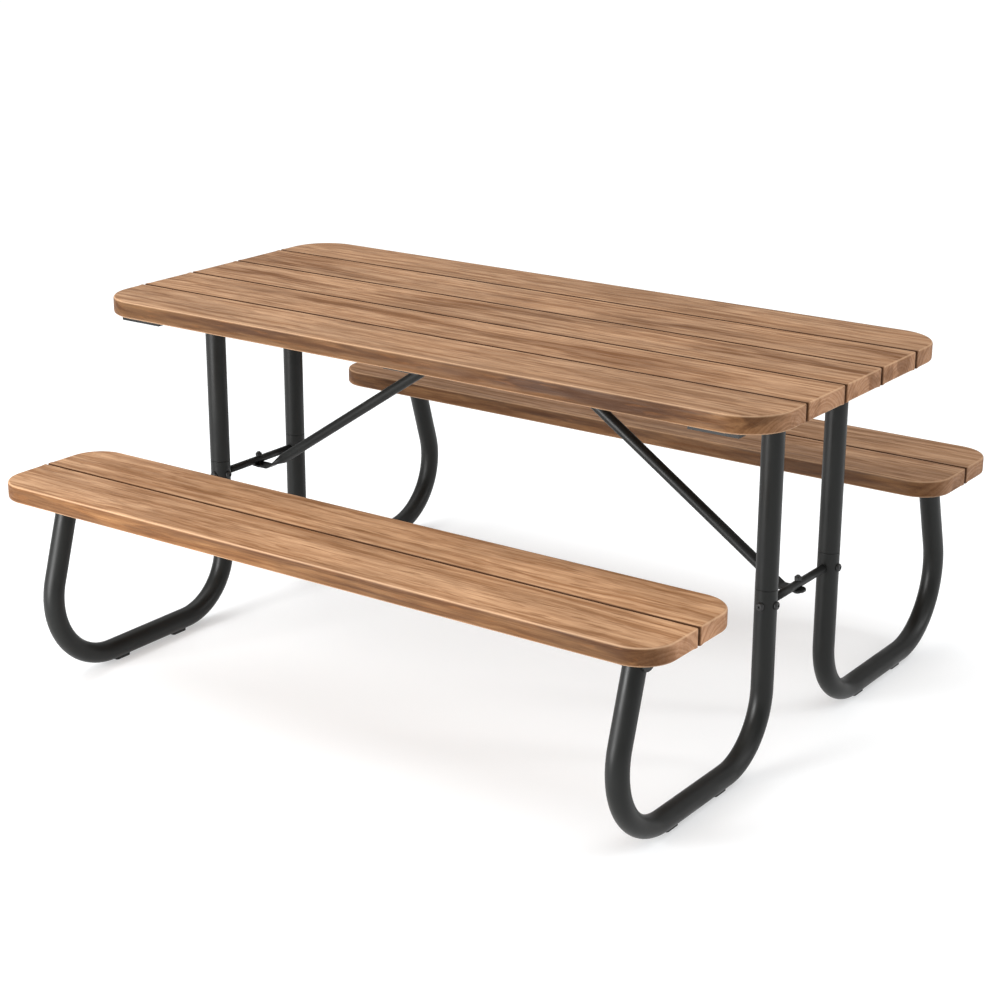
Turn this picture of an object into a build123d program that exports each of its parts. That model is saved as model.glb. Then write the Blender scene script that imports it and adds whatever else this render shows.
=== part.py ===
"""Picnic table: a plank tabletop and two plank benches on two bent-tube end frames.

Axes: X along the planks, Y across the table, Z up.  The origin lies on the ground under the
middle of the table.  Sizes are millimetres.
"""
import math
import os

from build123d import *

# ---------------------------------------------------------------- planks
TABLE_LENGTH = 1560.0
TABLE_HEIGHT = 740.0
TABLE_PLANKS = 5
TABLE_CORNER_RADIUS = 92.0
BENCH_LENGTH = 1528.0
SEAT_HEIGHT = 428.0
BENCH_PLANKS = 2
BENCH_OFFSET = 534.0          # middle of the table to the middle of a bench
BENCH_CORNER_RADIUS = 68.0
PLANK_WIDTH = 140.0
PLANK_THICKNESS = 35.0
PLANK_GAP = 5.0
OUTER_ARRIS = 5.0             # rounding round the rim of the top and of each bench
GAP_ARRIS = 2.0               # rounding beside the gaps between planks

# ---------------------------------------------------------------- end frames
FRAME_OFFSET = 668.0          # middle of the table to an end frame
TUBE_OD = 42.4
TUBE_WALL = 2.0
POST_OFFSET = 124.0           # middle of the table to the middle of a post
INNER_BEND_RADIUS = 130.0
OUTER_BEND_RADIUS = 150.0
SEAT_LEG_LEAN = 17.0          # degrees from upright, outwards towards the ground
SEAT_LEG_INSET = -33.0        # bench middle to the top of the seat leg, minus is outwards
SPIGOT_LENGTH = 60.0
SPIGOT_OVER_BOLT = 30.0       # joint line above the crossbar
SPIGOT_WALL = 2.0
SPIGOT_CLEARANCE = 0.2
CROSSBAR_HEIGHT = 320.0
CROSSBAR_OD = 16.0
CROSSBAR_WALL = 2.0
INSERT_LENGTH = 24.0

# ---------------------------------------------------------------- brace
BRACE_OD = 22.0
BRACE_WALL = 2.0
BRACE_TAB_WIDTH = 32.0
BRACE_TAB_THICKNESS = 5.0
BRACE_TAB_LENGTH = 34.0       # bolt hole to the knee of the tab
BRACE_FLARE = 34.0            # round tube to flat tab
BRACE_KNEE_RADIUS = 10.0
BRACE_TOP_OFFSET = 22.0       # middle of the table to the upper brace bolt

# ---------------------------------------------------------------- rails, brackets and feet
RAIL_WIDTH = 100.0
RAIL_DEPTH = 9.0
RAIL_SHEET = 3.0
RAIL_END_GAP = 16.0           # rim of the top to the end of a rail
CENTRE_RAIL_WIDTH = 90.0
CENTRE_RAIL_THICKNESS = 6.0
BRACKET_SHEET = 4.0
CHEEK_WIDTH = 46.0
CHEEK_DROP = 20.0             # bracket plate to the bolt
POST_PLATE_LENGTH = 98.0
POST_PLATE_CLEARANCE = 2.0
SEAT_PLATE_WIDTH = 90.0
SEAT_PLATE_END_GAP = 16.0
CLEAT_WIDTH = 50.0
GLIDE_LENGTH = 40.0
GLIDE_WIDTH = 18.0
GLIDE_SOLE = 4.0
GLIDE_SIDE = 6.0
GLIDE_PIN_OD = 8.0
GLIDE_PIN_LENGTH = 8.0
GLIDE_INSET = 26.0            # end of the straight floor run to the middle of a glide

# ---------------------------------------------------------------- fasteners
BOLT_OD = 8.0
BOLT_HEAD_OD = 16.0
BOLT_HEAD_HEIGHT = 5.0
BOLT_END = 3.0                # thread beyond the nut
BOLT_HOLE_PLAY = 0.6
NUT_FLATS = 13.0
NUT_HEIGHT = 6.5
SOCKET_FLATS = 5.0
SOCKET_DEPTH = 2.5
JOINT_SCREW_LENGTH = 12.0
WOOD_SCREW_OD = 5.0
WOOD_SCREW_HEAD_OD = 10.0
WOOD_SCREW_HEAD_HEIGHT = 3.0
WOOD_SCREW_GRIP = 24.0        # length inside the wood
WOOD_INSERT_OD = 12.0
WOOD_INSERT_LENGTH = 14.0
SCREW_EDGE = 30.0             # edge of a plank to its screws
FIT = 0.1                     # pieces that are pressed or screwed into a bore
SEAT_FIT = 0.3                # pieces that are clamped side by side

# ---------------------------------------------------------------- derived sizes
TUBE_RADIUS = TUBE_OD / 2
PLANK_PITCH = PLANK_WIDTH + PLANK_GAP
TABLE_UNDERSIDE = TABLE_HEIGHT - PLANK_THICKNESS
SEAT_UNDERSIDE = SEAT_HEIGHT - PLANK_THICKNESS
BENCH_WIDTH = BENCH_PLANKS * PLANK_PITCH - PLANK_GAP
TABLE_WIDTH = TABLE_PLANKS * PLANK_PITCH - PLANK_GAP
RUN_HEIGHT = GLIDE_SOLE + TUBE_RADIUS
JOINT_LINE = CROSSBAR_HEIGHT + SPIGOT_OVER_BOLT
LEAN = math.radians(SEAT_LEG_LEAN)
POST_PLATE_TOP = TABLE_UNDERSIDE - RAIL_SHEET
POST_TOP = POST_PLATE_TOP - BRACKET_SHEET - SEAT_FIT
POST_BOLT_HEIGHT = POST_PLATE_TOP - BRACKET_SHEET - CHEEK_DROP
LEG_TOP = SEAT_UNDERSIDE - BRACKET_SHEET - SEAT_FIT
LEG_BOLT_HEIGHT = SEAT_UNDERSIDE - BRACKET_SHEET - CHEEK_DROP
LEG_TOP_Y = BENCH_OFFSET - SEAT_LEG_INSET
LEG_BOLT_Y = LEG_TOP_Y + (LEG_TOP - LEG_BOLT_HEIGHT) * math.tan(LEAN)
CHEEK_INSIDE = TUBE_RADIUS + SEAT_FIT
CHEEK_OUTSIDE = CHEEK_INSIDE + BRACKET_SHEET
OUTER_BEND_HEIGHT = RUN_HEIGHT + OUTER_BEND_RADIUS
# the lean line touches the outer bend, so the bend's centre lies one radius inside that line
OUTER_BEND_Y = (LEG_TOP_Y + (LEG_TOP - OUTER_BEND_HEIGHT) * math.tan(LEAN)
                - OUTER_BEND_RADIUS / math.cos(LEAN))
INNER_BEND_Y = POST_OFFSET + INNER_BEND_RADIUS
SCREW_SHANK = WOOD_SCREW_GRIP + BRACKET_SHEET
PILOT_DEPTH = SCREW_SHANK

SIDES = {"left": -1, "right": 1}
ROWS = {"front": -1, "rear": 1}


def save(shape, node):
    """Write one sub-part to its own STEP file."""
    export_step(shape, f"parts/{node}.step")


def cylinder_x(radius, start, end, y, z):
    """A cylinder along X between two places."""
    middle = Pos((start + end) / 2, y, z)
    return middle * Rot(0, 90, 0) * Cylinder(radius, abs(end - start))


def cylinder_y(radius, x, start, end, z):
    """A cylinder along Y between two places."""
    middle = Pos(x, (start + end) / 2, z)
    return middle * Rot(90, 0, 0) * Cylinder(radius, abs(end - start))


def cylinder_z(radius, x, y, bottom, top):
    """A cylinder along Z between two heights."""
    return Pos(x, y, (bottom + top) / 2) * Cylinder(radius, top - bottom)


def group(solids):
    """Separate solids kept together in one node."""
    return Compound(children=list(solids))


# ---------------------------------------------------------------- planks
def plank_middles(count):
    """Y of each plank's middle, from a row centred on zero."""
    return [(index - (count - 1) / 2) * PLANK_PITCH for index in range(count)]


def plank(length, count, index, corner_radius, top):
    """One plank of a row: the row's rounded outline cut to the plank's own strip."""
    width = count * PLANK_PITCH - PLANK_GAP
    middle = plank_middles(count)[index]
    outline = RectangleRounded(length, width, corner_radius)
    strip = Pos(0, middle) * Rectangle(length, PLANK_WIDTH)
    body = extrude(outline & strip, PLANK_THICKNESS)
    flat_edges = body.edges().group_by(Axis.Z)
    level = list(flat_edges[0]) + list(flat_edges[-1])
    gap_sides = []
    if index > 0:
        gap_sides.append(middle - PLANK_WIDTH / 2)
    if index < count - 1:
        gap_sides.append(middle + PLANK_WIDTH / 2)
    beside_gap = [edge for edge in level
                  if any(abs(edge.center().Y - y) < GAP_ARRIS / 2 for y in gap_sides)]
    rim = [edge for edge in level if edge not in beside_gap]
    body = fillet(rim, OUTER_ARRIS)
    soft = [edge for edge in body.edges()
            if edge.length > length / 2
            and any(abs(edge.center().Y - y) < GAP_ARRIS / 4 for y in gap_sides)]
    body = fillet(soft, GAP_ARRIS)
    return Pos(0, 0, top - PLANK_THICKNESS) * body


def drill_from_below(body, places, underside, radius, depth):
    """Blind bores up into a plank."""
    for x, y in places:
        body -= cylinder_z(radius, x, y, underside, underside + depth)
    return body


# ---------------------------------------------------------------- fasteners
def wood_screw(x, y, seat):
    """A pan-head wood screw driven upwards; seat is the height of the face under its head."""
    shank_top = seat + SCREW_SHANK
    tip = WOOD_SCREW_OD
    shank = cylinder_z(WOOD_SCREW_OD / 2, x, y, seat, shank_top - tip)
    point = Pos(x, y, shank_top - tip / 2) * Cone(WOOD_SCREW_OD / 2, FIT, tip)
    head = cylinder_z(WOOD_SCREW_HEAD_OD / 2, x, y, seat - WOOD_SCREW_HEAD_HEIGHT, seat)
    head = fillet(head.edges().group_by(Axis.Z)[0], WOOD_SCREW_HEAD_HEIGHT / 2)
    return head + shank + point


def button_bolt(length):
    """A button-head bolt along +Z: the head's seat is at zero and the shank goes up."""
    head = Pos(0, 0, -BOLT_HEAD_HEIGHT / 2) * Cylinder(BOLT_HEAD_OD / 2, BOLT_HEAD_HEIGHT)
    head = fillet(head.edges().group_by(Axis.Z)[0], BOLT_HEAD_HEIGHT * 0.8)
    socket = Pos(0, 0, -BOLT_HEAD_HEIGHT) * extrude(
        RegularPolygon(SOCKET_FLATS / 2, 6, major_radius=False), SOCKET_DEPTH)
    shank = Pos(0, 0, length / 2) * Cylinder(BOLT_OD / 2, length)
    shank = chamfer(shank.edges().group_by(Axis.Z)[-1], BOLT_OD / 10)
    return head + shank - socket


def hex_nut():
    """A hexagon nut on +Z, its lower face at zero."""
    body = extrude(RegularPolygon(NUT_FLATS / 2, 6, major_radius=False), NUT_HEIGHT)
    rounding = Pos(0, 0, NUT_HEIGHT / 2) * Cylinder(NUT_FLATS / 2 * 1.12, NUT_HEIGHT)
    rounding = chamfer(rounding.edges().group_by(Axis.Z)[-1], NUT_HEIGHT / 6)
    bore = Pos(0, 0, NUT_HEIGHT / 2) * Cylinder(BOLT_OD / 2 + FIT, NUT_HEIGHT)
    return (body & rounding) - bore


# ---------------------------------------------------------------- tubes
def ring_sweep(path, outer, inner):
    """A round tube along a path of runs and tangent arcs."""
    start = Plane(path @ 0, z_dir=path % 0)
    outside = sweep(start * Circle(outer), path=path)
    inside = sweep(start * Circle(inner), path=path)
    return outside - inside


def hoop_path():
    """Centre line of a leg hoop in the frame's plane, for the rear right hoop."""
    overshoot = TUBE_OD
    rise = LEG_TOP + overshoot
    corner_y = LEG_TOP_Y + (LEG_TOP - RUN_HEIGHT) * math.tan(LEAN)
    points = [
        (0, POST_OFFSET, JOINT_LINE),
        (0, POST_OFFSET, RUN_HEIGHT),
        (0, corner_y, RUN_HEIGHT),
        (0, LEG_TOP_Y - overshoot * math.tan(LEAN), rise),
    ]
    return FilletPolyline(points, radius=[INNER_BEND_RADIUS, OUTER_BEND_RADIUS])


def leg_hoop():
    """Lower tube of an end frame: post foot, floor run and seat leg in one bent length."""
    tube = ring_sweep(hoop_path(), TUBE_RADIUS, TUBE_RADIUS - TUBE_WALL)
    above_leg = Pos(0, LEG_TOP_Y, LEG_TOP + TUBE_OD) * Box(TUBE_OD * 2, TUBE_OD * 4, TUBE_OD * 2)
    tube -= above_leg
    bolt_hole = BOLT_OD / 2 + BOLT_HOLE_PLAY / 2
    tube -= cylinder_x(bolt_hole, -TUBE_OD, TUBE_OD, LEG_BOLT_Y, LEG_BOLT_HEIGHT)
    tube -= cylinder_y(bolt_hole, 0, POST_OFFSET - TUBE_OD, POST_OFFSET + TUBE_OD, CROSSBAR_HEIGHT)
    tube -= cylinder_x(bolt_hole, 0, TUBE_OD, POST_OFFSET, CROSSBAR_HEIGHT)
    for y in glide_places():
        tube -= cylinder_z(GLIDE_PIN_OD / 2 + FIT, 0, y, 0, RUN_HEIGHT)
    return tube


def glide_places():
    """Y of the two glides under a floor run."""
    return [INNER_BEND_Y + GLIDE_INSET, OUTER_BEND_Y - GLIDE_INSET]


def post():
    """Upper tube of an end frame, with a reduced spigot that slides into the leg hoop."""
    spigot_bottom = JOINT_LINE - SPIGOT_LENGTH
    spigot_radius = TUBE_RADIUS - TUBE_WALL - SPIGOT_CLEARANCE
    bore = spigot_radius - SPIGOT_WALL
    body = cylinder_z(TUBE_RADIUS, 0, POST_OFFSET, JOINT_LINE + SEAT_FIT, POST_TOP)
    body += cylinder_z(spigot_radius, 0, POST_OFFSET, spigot_bottom, POST_TOP)
    body -= cylinder_z(bore, 0, POST_OFFSET, spigot_bottom, POST_TOP)
    bolt_hole = BOLT_OD / 2 + BOLT_HOLE_PLAY / 2
    body -= cylinder_x(bolt_hole, -TUBE_OD, TUBE_OD, POST_OFFSET, POST_BOLT_HEIGHT)
    body -= cylinder_y(bolt_hole, 0, POST_OFFSET - TUBE_OD, POST_OFFSET + TUBE_OD, CROSSBAR_HEIGHT)
    body -= cylinder_x(bolt_hole, 0, TUBE_OD, POST_OFFSET, CROSSBAR_HEIGHT)
    return body


def crossbar():
    """Thin tube between the two posts of a frame, its ends coped to the posts."""
    reach = POST_OFFSET - TUBE_RADIUS * 0.6
    bar = cylinder_y(CROSSBAR_OD / 2, 0, -reach, reach, CROSSBAR_HEIGHT)
    bar -= cylinder_y(CROSSBAR_OD / 2 - CROSSBAR_WALL, 0, -reach, reach, CROSSBAR_HEIGHT)
    for row in ROWS.values():
        bar -= cylinder_z(TUBE_RADIUS + SEAT_FIT, 0, row * POST_OFFSET,
                          CROSSBAR_HEIGHT - TUBE_OD, CROSSBAR_HEIGHT + TUBE_OD)
    bar -= cylinder_z(BOLT_OD / 2 + BOLT_HOLE_PLAY / 2, 0, 0,
                      CROSSBAR_HEIGHT - CROSSBAR_OD, CROSSBAR_HEIGHT + CROSSBAR_OD)
    return bar


def crossbar_insert(row):
    """Threaded plug inside one end of a crossbar."""
    outer = row * (POST_OFFSET - TUBE_RADIUS - SEAT_FIT)
    inner = outer - row * INSERT_LENGTH
    plug = cylinder_y(CROSSBAR_OD / 2 - CROSSBAR_WALL - FIT, 0, inner, outer, CROSSBAR_HEIGHT)
    return plug - cylinder_y(BOLT_OD / 2 + FIT, 0, inner, outer, CROSSBAR_HEIGHT)


# ---------------------------------------------------------------- brace
def brace_tab(knee, bolt_x, angle):
    """Flat end of a brace: it leaves the tube along the slope, bends level and ends round."""
    toward = 1 if bolt_x > knee.X else -1
    slope = Vector(math.cos(angle), 0, math.sin(angle)) * -toward
    run_in = BRACE_KNEE_RADIUS * 1.5
    tip = Vector(bolt_x + toward * BRACE_TAB_WIDTH / 2, 0, knee.Z)
    path = FilletPolyline([tuple(knee + slope * run_in), tuple(knee), tuple(tip)],
                          radius=BRACE_KNEE_RADIUS)
    start = Plane(path @ 0, x_dir=(0, 1, 0), z_dir=path % 0)
    strip = sweep(start * Rectangle(BRACE_TAB_WIDTH, BRACE_TAB_THICKNESS), path=path)
    corners = strip.edges().filter_by(Axis.Z).sort_by(Axis.X)
    ends = corners[-2:] if toward > 0 else corners[:2]
    return fillet(ends, BRACE_TAB_WIDTH * 0.49)


def brace():
    """Right-hand brace: round tube with flattened ends under the crossbar and the top."""
    half = BRACE_TAB_THICKNESS / 2
    low_z = CROSSBAR_HEIGHT - CROSSBAR_OD / 2 - SEAT_FIT - half
    high_z = TABLE_UNDERSIDE - CENTRE_RAIL_THICKNESS - SEAT_FIT - half
    low = Vector(FRAME_OFFSET - BRACE_TAB_LENGTH, 0, low_z)
    high = Vector(BRACE_TOP_OFFSET + BRACE_TAB_LENGTH, 0, high_z)
    angle = math.atan2(low_z - high_z, low.X - high.X)
    axis = (low - high).normalized()
    run_in = BRACE_KNEE_RADIUS * 1.5
    body = brace_tab(low, FRAME_OFFSET, angle)
    body += brace_tab(high, BRACE_TOP_OFFSET, angle)
    ends = []
    for knee, way in ((low, -1), (high, 1)):
        flat = Plane(knee + axis * way * run_in, x_dir=(0, 1, 0), z_dir=axis * way)
        round_end = flat.offset(BRACE_FLARE)
        flare = loft([flat * RectangleRounded(BRACE_TAB_WIDTH, BRACE_TAB_THICKNESS, half * 0.9),
                      round_end * Circle(BRACE_OD / 2)])
        body += flare
        ends.append(round_end.origin)
    length = (ends[0] - ends[1]).length
    tube_plane = Plane(ends[1], x_dir=(0, 1, 0), z_dir=axis)
    tube = extrude(tube_plane * Circle(BRACE_OD / 2), length)
    bore = extrude(tube_plane * Circle(BRACE_OD / 2 - BRACE_WALL), length)
    body += tube
    body -= bore
    for x, z in ((FRAME_OFFSET, low_z), (BRACE_TOP_OFFSET, high_z)):
        body -= cylinder_z(BOLT_OD / 2 + BOLT_HOLE_PLAY / 2, x, 0,
                           z - BRACE_TAB_THICKNESS, z + BRACE_TAB_THICKNESS)
    return body


# ---------------------------------------------------------------- rails and brackets
def end_rail():
    """Shallow folded pan across the planks over an end frame, open downwards."""
    length = TABLE_WIDTH - 2 * RAIL_END_GAP
    middle = TABLE_UNDERSIDE - RAIL_DEPTH / 2
    outside = Pos(0, 0, middle) * Box(RAIL_WIDTH, length, RAIL_DEPTH)
    outside = fillet(outside.edges().filter_by(Axis.Y).group_by(Axis.Z)[-1], RAIL_SHEET)
    hollow = Pos(0, 0, middle - RAIL_SHEET) * Box(
        RAIL_WIDTH - 2 * RAIL_SHEET, length - 2 * RAIL_SHEET, RAIL_DEPTH)
    return drill_from_below(outside - hollow, end_rail_screws(), TABLE_UNDERSIDE - RAIL_DEPTH,
                            WOOD_SCREW_OD / 2 + FIT, RAIL_DEPTH)


def end_rail_screws():
    """Screw places in an end rail: one near each edge of a plank, clear of the brackets."""
    places = []
    for middle in plank_middles(TABLE_PLANKS):
        for way in (-1, 1):
            places.append((0, middle + way * (PLANK_WIDTH / 2 - SCREW_EDGE)))
    reach = POST_PLATE_LENGTH / 2 + WOOD_SCREW_HEAD_OD / 2
    clear = [(x, y) for x, y in places if abs(abs(y) - POST_OFFSET) > reach]
    return clear + [(0, y) for y in post_plate_screws()]


def post_plate_screws():
    """Y of the screws that hold the two post brackets."""
    reach = POST_PLATE_LENGTH / 2 - WOOD_SCREW_HEAD_OD
    return [row * POST_OFFSET + way * reach for row in ROWS.values() for way in (-1, 1)]


def centre_rail():
    """Flat bar across the planks in the middle, which also takes the upper brace bolts."""
    length = TABLE_WIDTH - 2 * RAIL_END_GAP
    middle = TABLE_UNDERSIDE - CENTRE_RAIL_THICKNESS / 2
    bar = Pos(0, 0, middle) * Box(CENTRE_RAIL_WIDTH, length, CENTRE_RAIL_THICKNESS)
    bar = fillet(bar.edges().filter_by(Axis.Z), CENTRE_RAIL_THICKNESS)
    bar = drill_from_below(bar, centre_rail_screws(), TABLE_UNDERSIDE - CENTRE_RAIL_THICKNESS,
                           WOOD_SCREW_OD / 2 + FIT, CENTRE_RAIL_THICKNESS)
    bolts = [(side * BRACE_TOP_OFFSET, 0) for side in SIDES.values()]
    return drill_from_below(bar, bolts, TABLE_UNDERSIDE - CENTRE_RAIL_THICKNESS,
                            BOLT_OD / 2 + BOLT_HOLE_PLAY / 2, CENTRE_RAIL_THICKNESS)


def centre_rail_screws():
    """Screw places in the centre rail, two in each plank, on a diagonal."""
    places = []
    for middle in plank_middles(TABLE_PLANKS):
        for way in (-1, 1):
            x = way * (CENTRE_RAIL_WIDTH / 2 - WOOD_SCREW_HEAD_OD)
            places.append((x, middle + way * (PLANK_WIDTH / 2 - SCREW_EDGE)))
    return places


def cheek(side, y, plate_bottom, bolt_height):
    """One ear of a bracket, hanging beside the tube and ending round about the bolt."""
    drop = plate_bottom - bolt_height
    outline = Pos(0, drop / 2) * Rectangle(CHEEK_WIDTH, drop)
    outline += Circle(CHEEK_WIDTH / 2)
    outline &= Pos(0, -CHEEK_WIDTH / 2 + drop / 2) * Rectangle(CHEEK_WIDTH, CHEEK_WIDTH + drop)
    outline -= Circle(BOLT_OD / 2 + BOLT_HOLE_PLAY / 2)
    inner = side * (CHEEK_INSIDE if side > 0 else CHEEK_OUTSIDE)
    plane = Plane((inner, y, bolt_height), x_dir=(0, 1, 0), z_dir=(1, 0, 0))
    return extrude(plane * outline, BRACKET_SHEET)


def post_bracket():
    """Saddle on top of a post: a plate inside the rail and two ears for the bolt."""
    plate_bottom = POST_PLATE_TOP - BRACKET_SHEET
    width = RAIL_WIDTH - 2 * RAIL_SHEET - POST_PLATE_CLEARANCE
    body = Pos(0, POST_OFFSET, plate_bottom + BRACKET_SHEET / 2) * Box(
        width, POST_PLATE_LENGTH, BRACKET_SHEET)
    body = fillet(body.edges().filter_by(Axis.Z), BRACKET_SHEET)
    for side in SIDES.values():
        body += cheek(side, POST_OFFSET, plate_bottom, POST_BOLT_HEIGHT)
    screws = [(0, y) for y in post_plate_screws() if y > 0]
    return drill_from_below(body, screws, plate_bottom, WOOD_SCREW_OD / 2 + FIT, BRACKET_SHEET)


def seat_plate_screws():
    """Screw places in a seat bracket's plate, two in each plank."""
    places = []
    for middle in plank_middles(BENCH_PLANKS):
        for way in (-1, 1):
            x = way * (SEAT_PLATE_WIDTH / 2 - WOOD_SCREW_HEAD_OD)
            places.append((x, BENCH_OFFSET + middle))
    return places


def seat_bracket():
    """Saddle on top of a seat leg: a plate across both seat planks and two ears."""
    plate_bottom = SEAT_UNDERSIDE - BRACKET_SHEET
    length = BENCH_WIDTH - 2 * SEAT_PLATE_END_GAP
    body = Pos(0, BENCH_OFFSET, plate_bottom + BRACKET_SHEET / 2) * Box(
        SEAT_PLATE_WIDTH, length, BRACKET_SHEET)
    body = fillet(body.edges().filter_by(Axis.Z), SEAT_PLATE_END_GAP)
    for side in SIDES.values():
        body += cheek(side, LEG_BOLT_Y, plate_bottom, LEG_BOLT_HEIGHT)
    return drill_from_below(body, seat_plate_screws(), plate_bottom,
                            WOOD_SCREW_OD / 2 + FIT, BRACKET_SHEET)


def cleat_screws():
    """Screw places in a bench's middle cleat, two in each plank."""
    places = []
    for middle in plank_middles(BENCH_PLANKS):
        for way in (-1, 1):
            places.append((0, BENCH_OFFSET + middle + way * (PLANK_WIDTH / 2 - SCREW_EDGE)))
    return places


def bench_cleat():
    """Flat bar that ties the two planks of a bench together at mid-length."""
    length = BENCH_WIDTH - 2 * SEAT_PLATE_END_GAP
    plate_bottom = SEAT_UNDERSIDE - BRACKET_SHEET
    bar = Pos(0, BENCH_OFFSET, plate_bottom + BRACKET_SHEET / 2) * Box(
        CLEAT_WIDTH, length, BRACKET_SHEET)
    bar = fillet(bar.edges().filter_by(Axis.Z), BRACKET_SHEET)
    return drill_from_below(bar, cleat_screws(), plate_bottom,
                            WOOD_SCREW_OD / 2 + FIT, BRACKET_SHEET)


def glide(y):
    """Plastic foot under a floor run: a saddle with a pin that snaps into the tube."""
    height = GLIDE_SOLE + GLIDE_SIDE
    pad = Pos(0, y, height / 2) * Box(GLIDE_WIDTH, GLIDE_LENGTH, height)
    pad = fillet(pad.edges().filter_by(Axis.Z), GLIDE_SIDE)
    pad = fillet(pad.edges().group_by(Axis.Z)[0], GLIDE_SOLE / 4)
    pad -= cylinder_y(TUBE_RADIUS + FIT, 0, y - GLIDE_LENGTH, y + GLIDE_LENGTH, RUN_HEIGHT)
    return pad + cylinder_z(GLIDE_PIN_OD / 2, 0, y, GLIDE_SOLE / 2, GLIDE_SOLE + GLIDE_PIN_LENGTH)


# ---------------------------------------------------------------- placing
def row_copy(shape, row):
    """A rear piece as it is, or mirrored to the front."""
    return shape if row > 0 else mirror(shape, about=Plane.XZ)


def frame_copy(shape, side, row):
    """A piece of the rear frame half, placed in one of the four frame halves."""
    return Pos(side * FRAME_OFFSET, 0, 0) * row_copy(shape, row)


def each_frame_half():
    """Side and row of the four frame halves, with the name that their nodes share."""
    for side_name, side in SIDES.items():
        for row_name, row in ROWS.items():
            yield f"{row_name}_{side_name}", side, row


def build_planks():
    """Tabletop and bench planks, with the bores that their fasteners need."""
    bore = WOOD_SCREW_OD / 2 + FIT
    table_screws = centre_rail_screws()
    for side in SIDES.values():
        table_screws += [(side * FRAME_OFFSET, y) for x, y in end_rail_screws()]
    for index, middle in enumerate(plank_middles(TABLE_PLANKS)):
        body = plank(TABLE_LENGTH, TABLE_PLANKS, index, TABLE_CORNER_RADIUS, TABLE_HEIGHT)
        mine = [place for place in table_screws if abs(place[1] - middle) < PLANK_WIDTH / 2]
        body = drill_from_below(body, mine, TABLE_UNDERSIDE, bore, PILOT_DEPTH)
        if abs(middle) < PLANK_WIDTH / 2:
            inserts = [(side * BRACE_TOP_OFFSET, 0) for side in SIDES.values()]
            body = drill_from_below(body, inserts, TABLE_UNDERSIDE,
                                    WOOD_INSERT_OD / 2 + FIT, WOOD_INSERT_LENGTH)
        save(body, f"tabletop_plank_{index + 1}")
    for row_name, row in ROWS.items():
        for index, middle in enumerate(plank_middles(BENCH_PLANKS)):
            place = "inner" if index == 0 else "outer"
            body = plank(BENCH_LENGTH, BENCH_PLANKS, index, BENCH_CORNER_RADIUS, SEAT_HEIGHT)
            screws = [(x, y - BENCH_OFFSET) for x, y in cleat_screws()]
            for side in SIDES.values():
                screws += [(side * FRAME_OFFSET + x, y - BENCH_OFFSET)
                           for x, y in seat_plate_screws()]
            mine = [spot for spot in screws if abs(spot[1] - middle) < PLANK_WIDTH / 2]
            body = drill_from_below(body, mine, SEAT_UNDERSIDE, bore, PILOT_DEPTH)
            body = Pos(0, BENCH_OFFSET, 0) * body
            save(row_copy(body, row), f"{row_name}_bench_{place}_plank")


def build_frames():
    """Hoops, posts, brackets, crossbars, braces, rails, cleats and glides."""
    hoop, upright = leg_hoop(), post()
    saddle, seat_saddle = post_bracket(), seat_bracket()
    feet = group([glide(y) for y in glide_places()])
    for name, side, row in each_frame_half():
        save(frame_copy(hoop, side, row), f"leg_hoop_{name}")
        save(frame_copy(upright, side, row), f"post_{name}")
        save(frame_copy(saddle, side, row), f"post_bracket_{name}")
        save(frame_copy(seat_saddle, side, row), f"seat_bracket_{name}")
        save(frame_copy(feet, side, row), f"floor_glides_{name}")
    bar, strut, rail = crossbar(), brace(), end_rail()
    for name, side in SIDES.items():
        save(Pos(side * FRAME_OFFSET, 0, 0) * bar, f"crossbar_{name}")
        save(strut if side > 0 else mirror(strut, about=Plane.YZ), f"brace_{name}")
        save(Pos(side * FRAME_OFFSET, 0, 0) * rail, f"tabletop_rail_{name}")
    save(centre_rail(), "tabletop_rail_centre")
    for name, row in ROWS.items():
        save(row_copy(bench_cleat(), row), f"{name}_bench_cleat")


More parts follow.
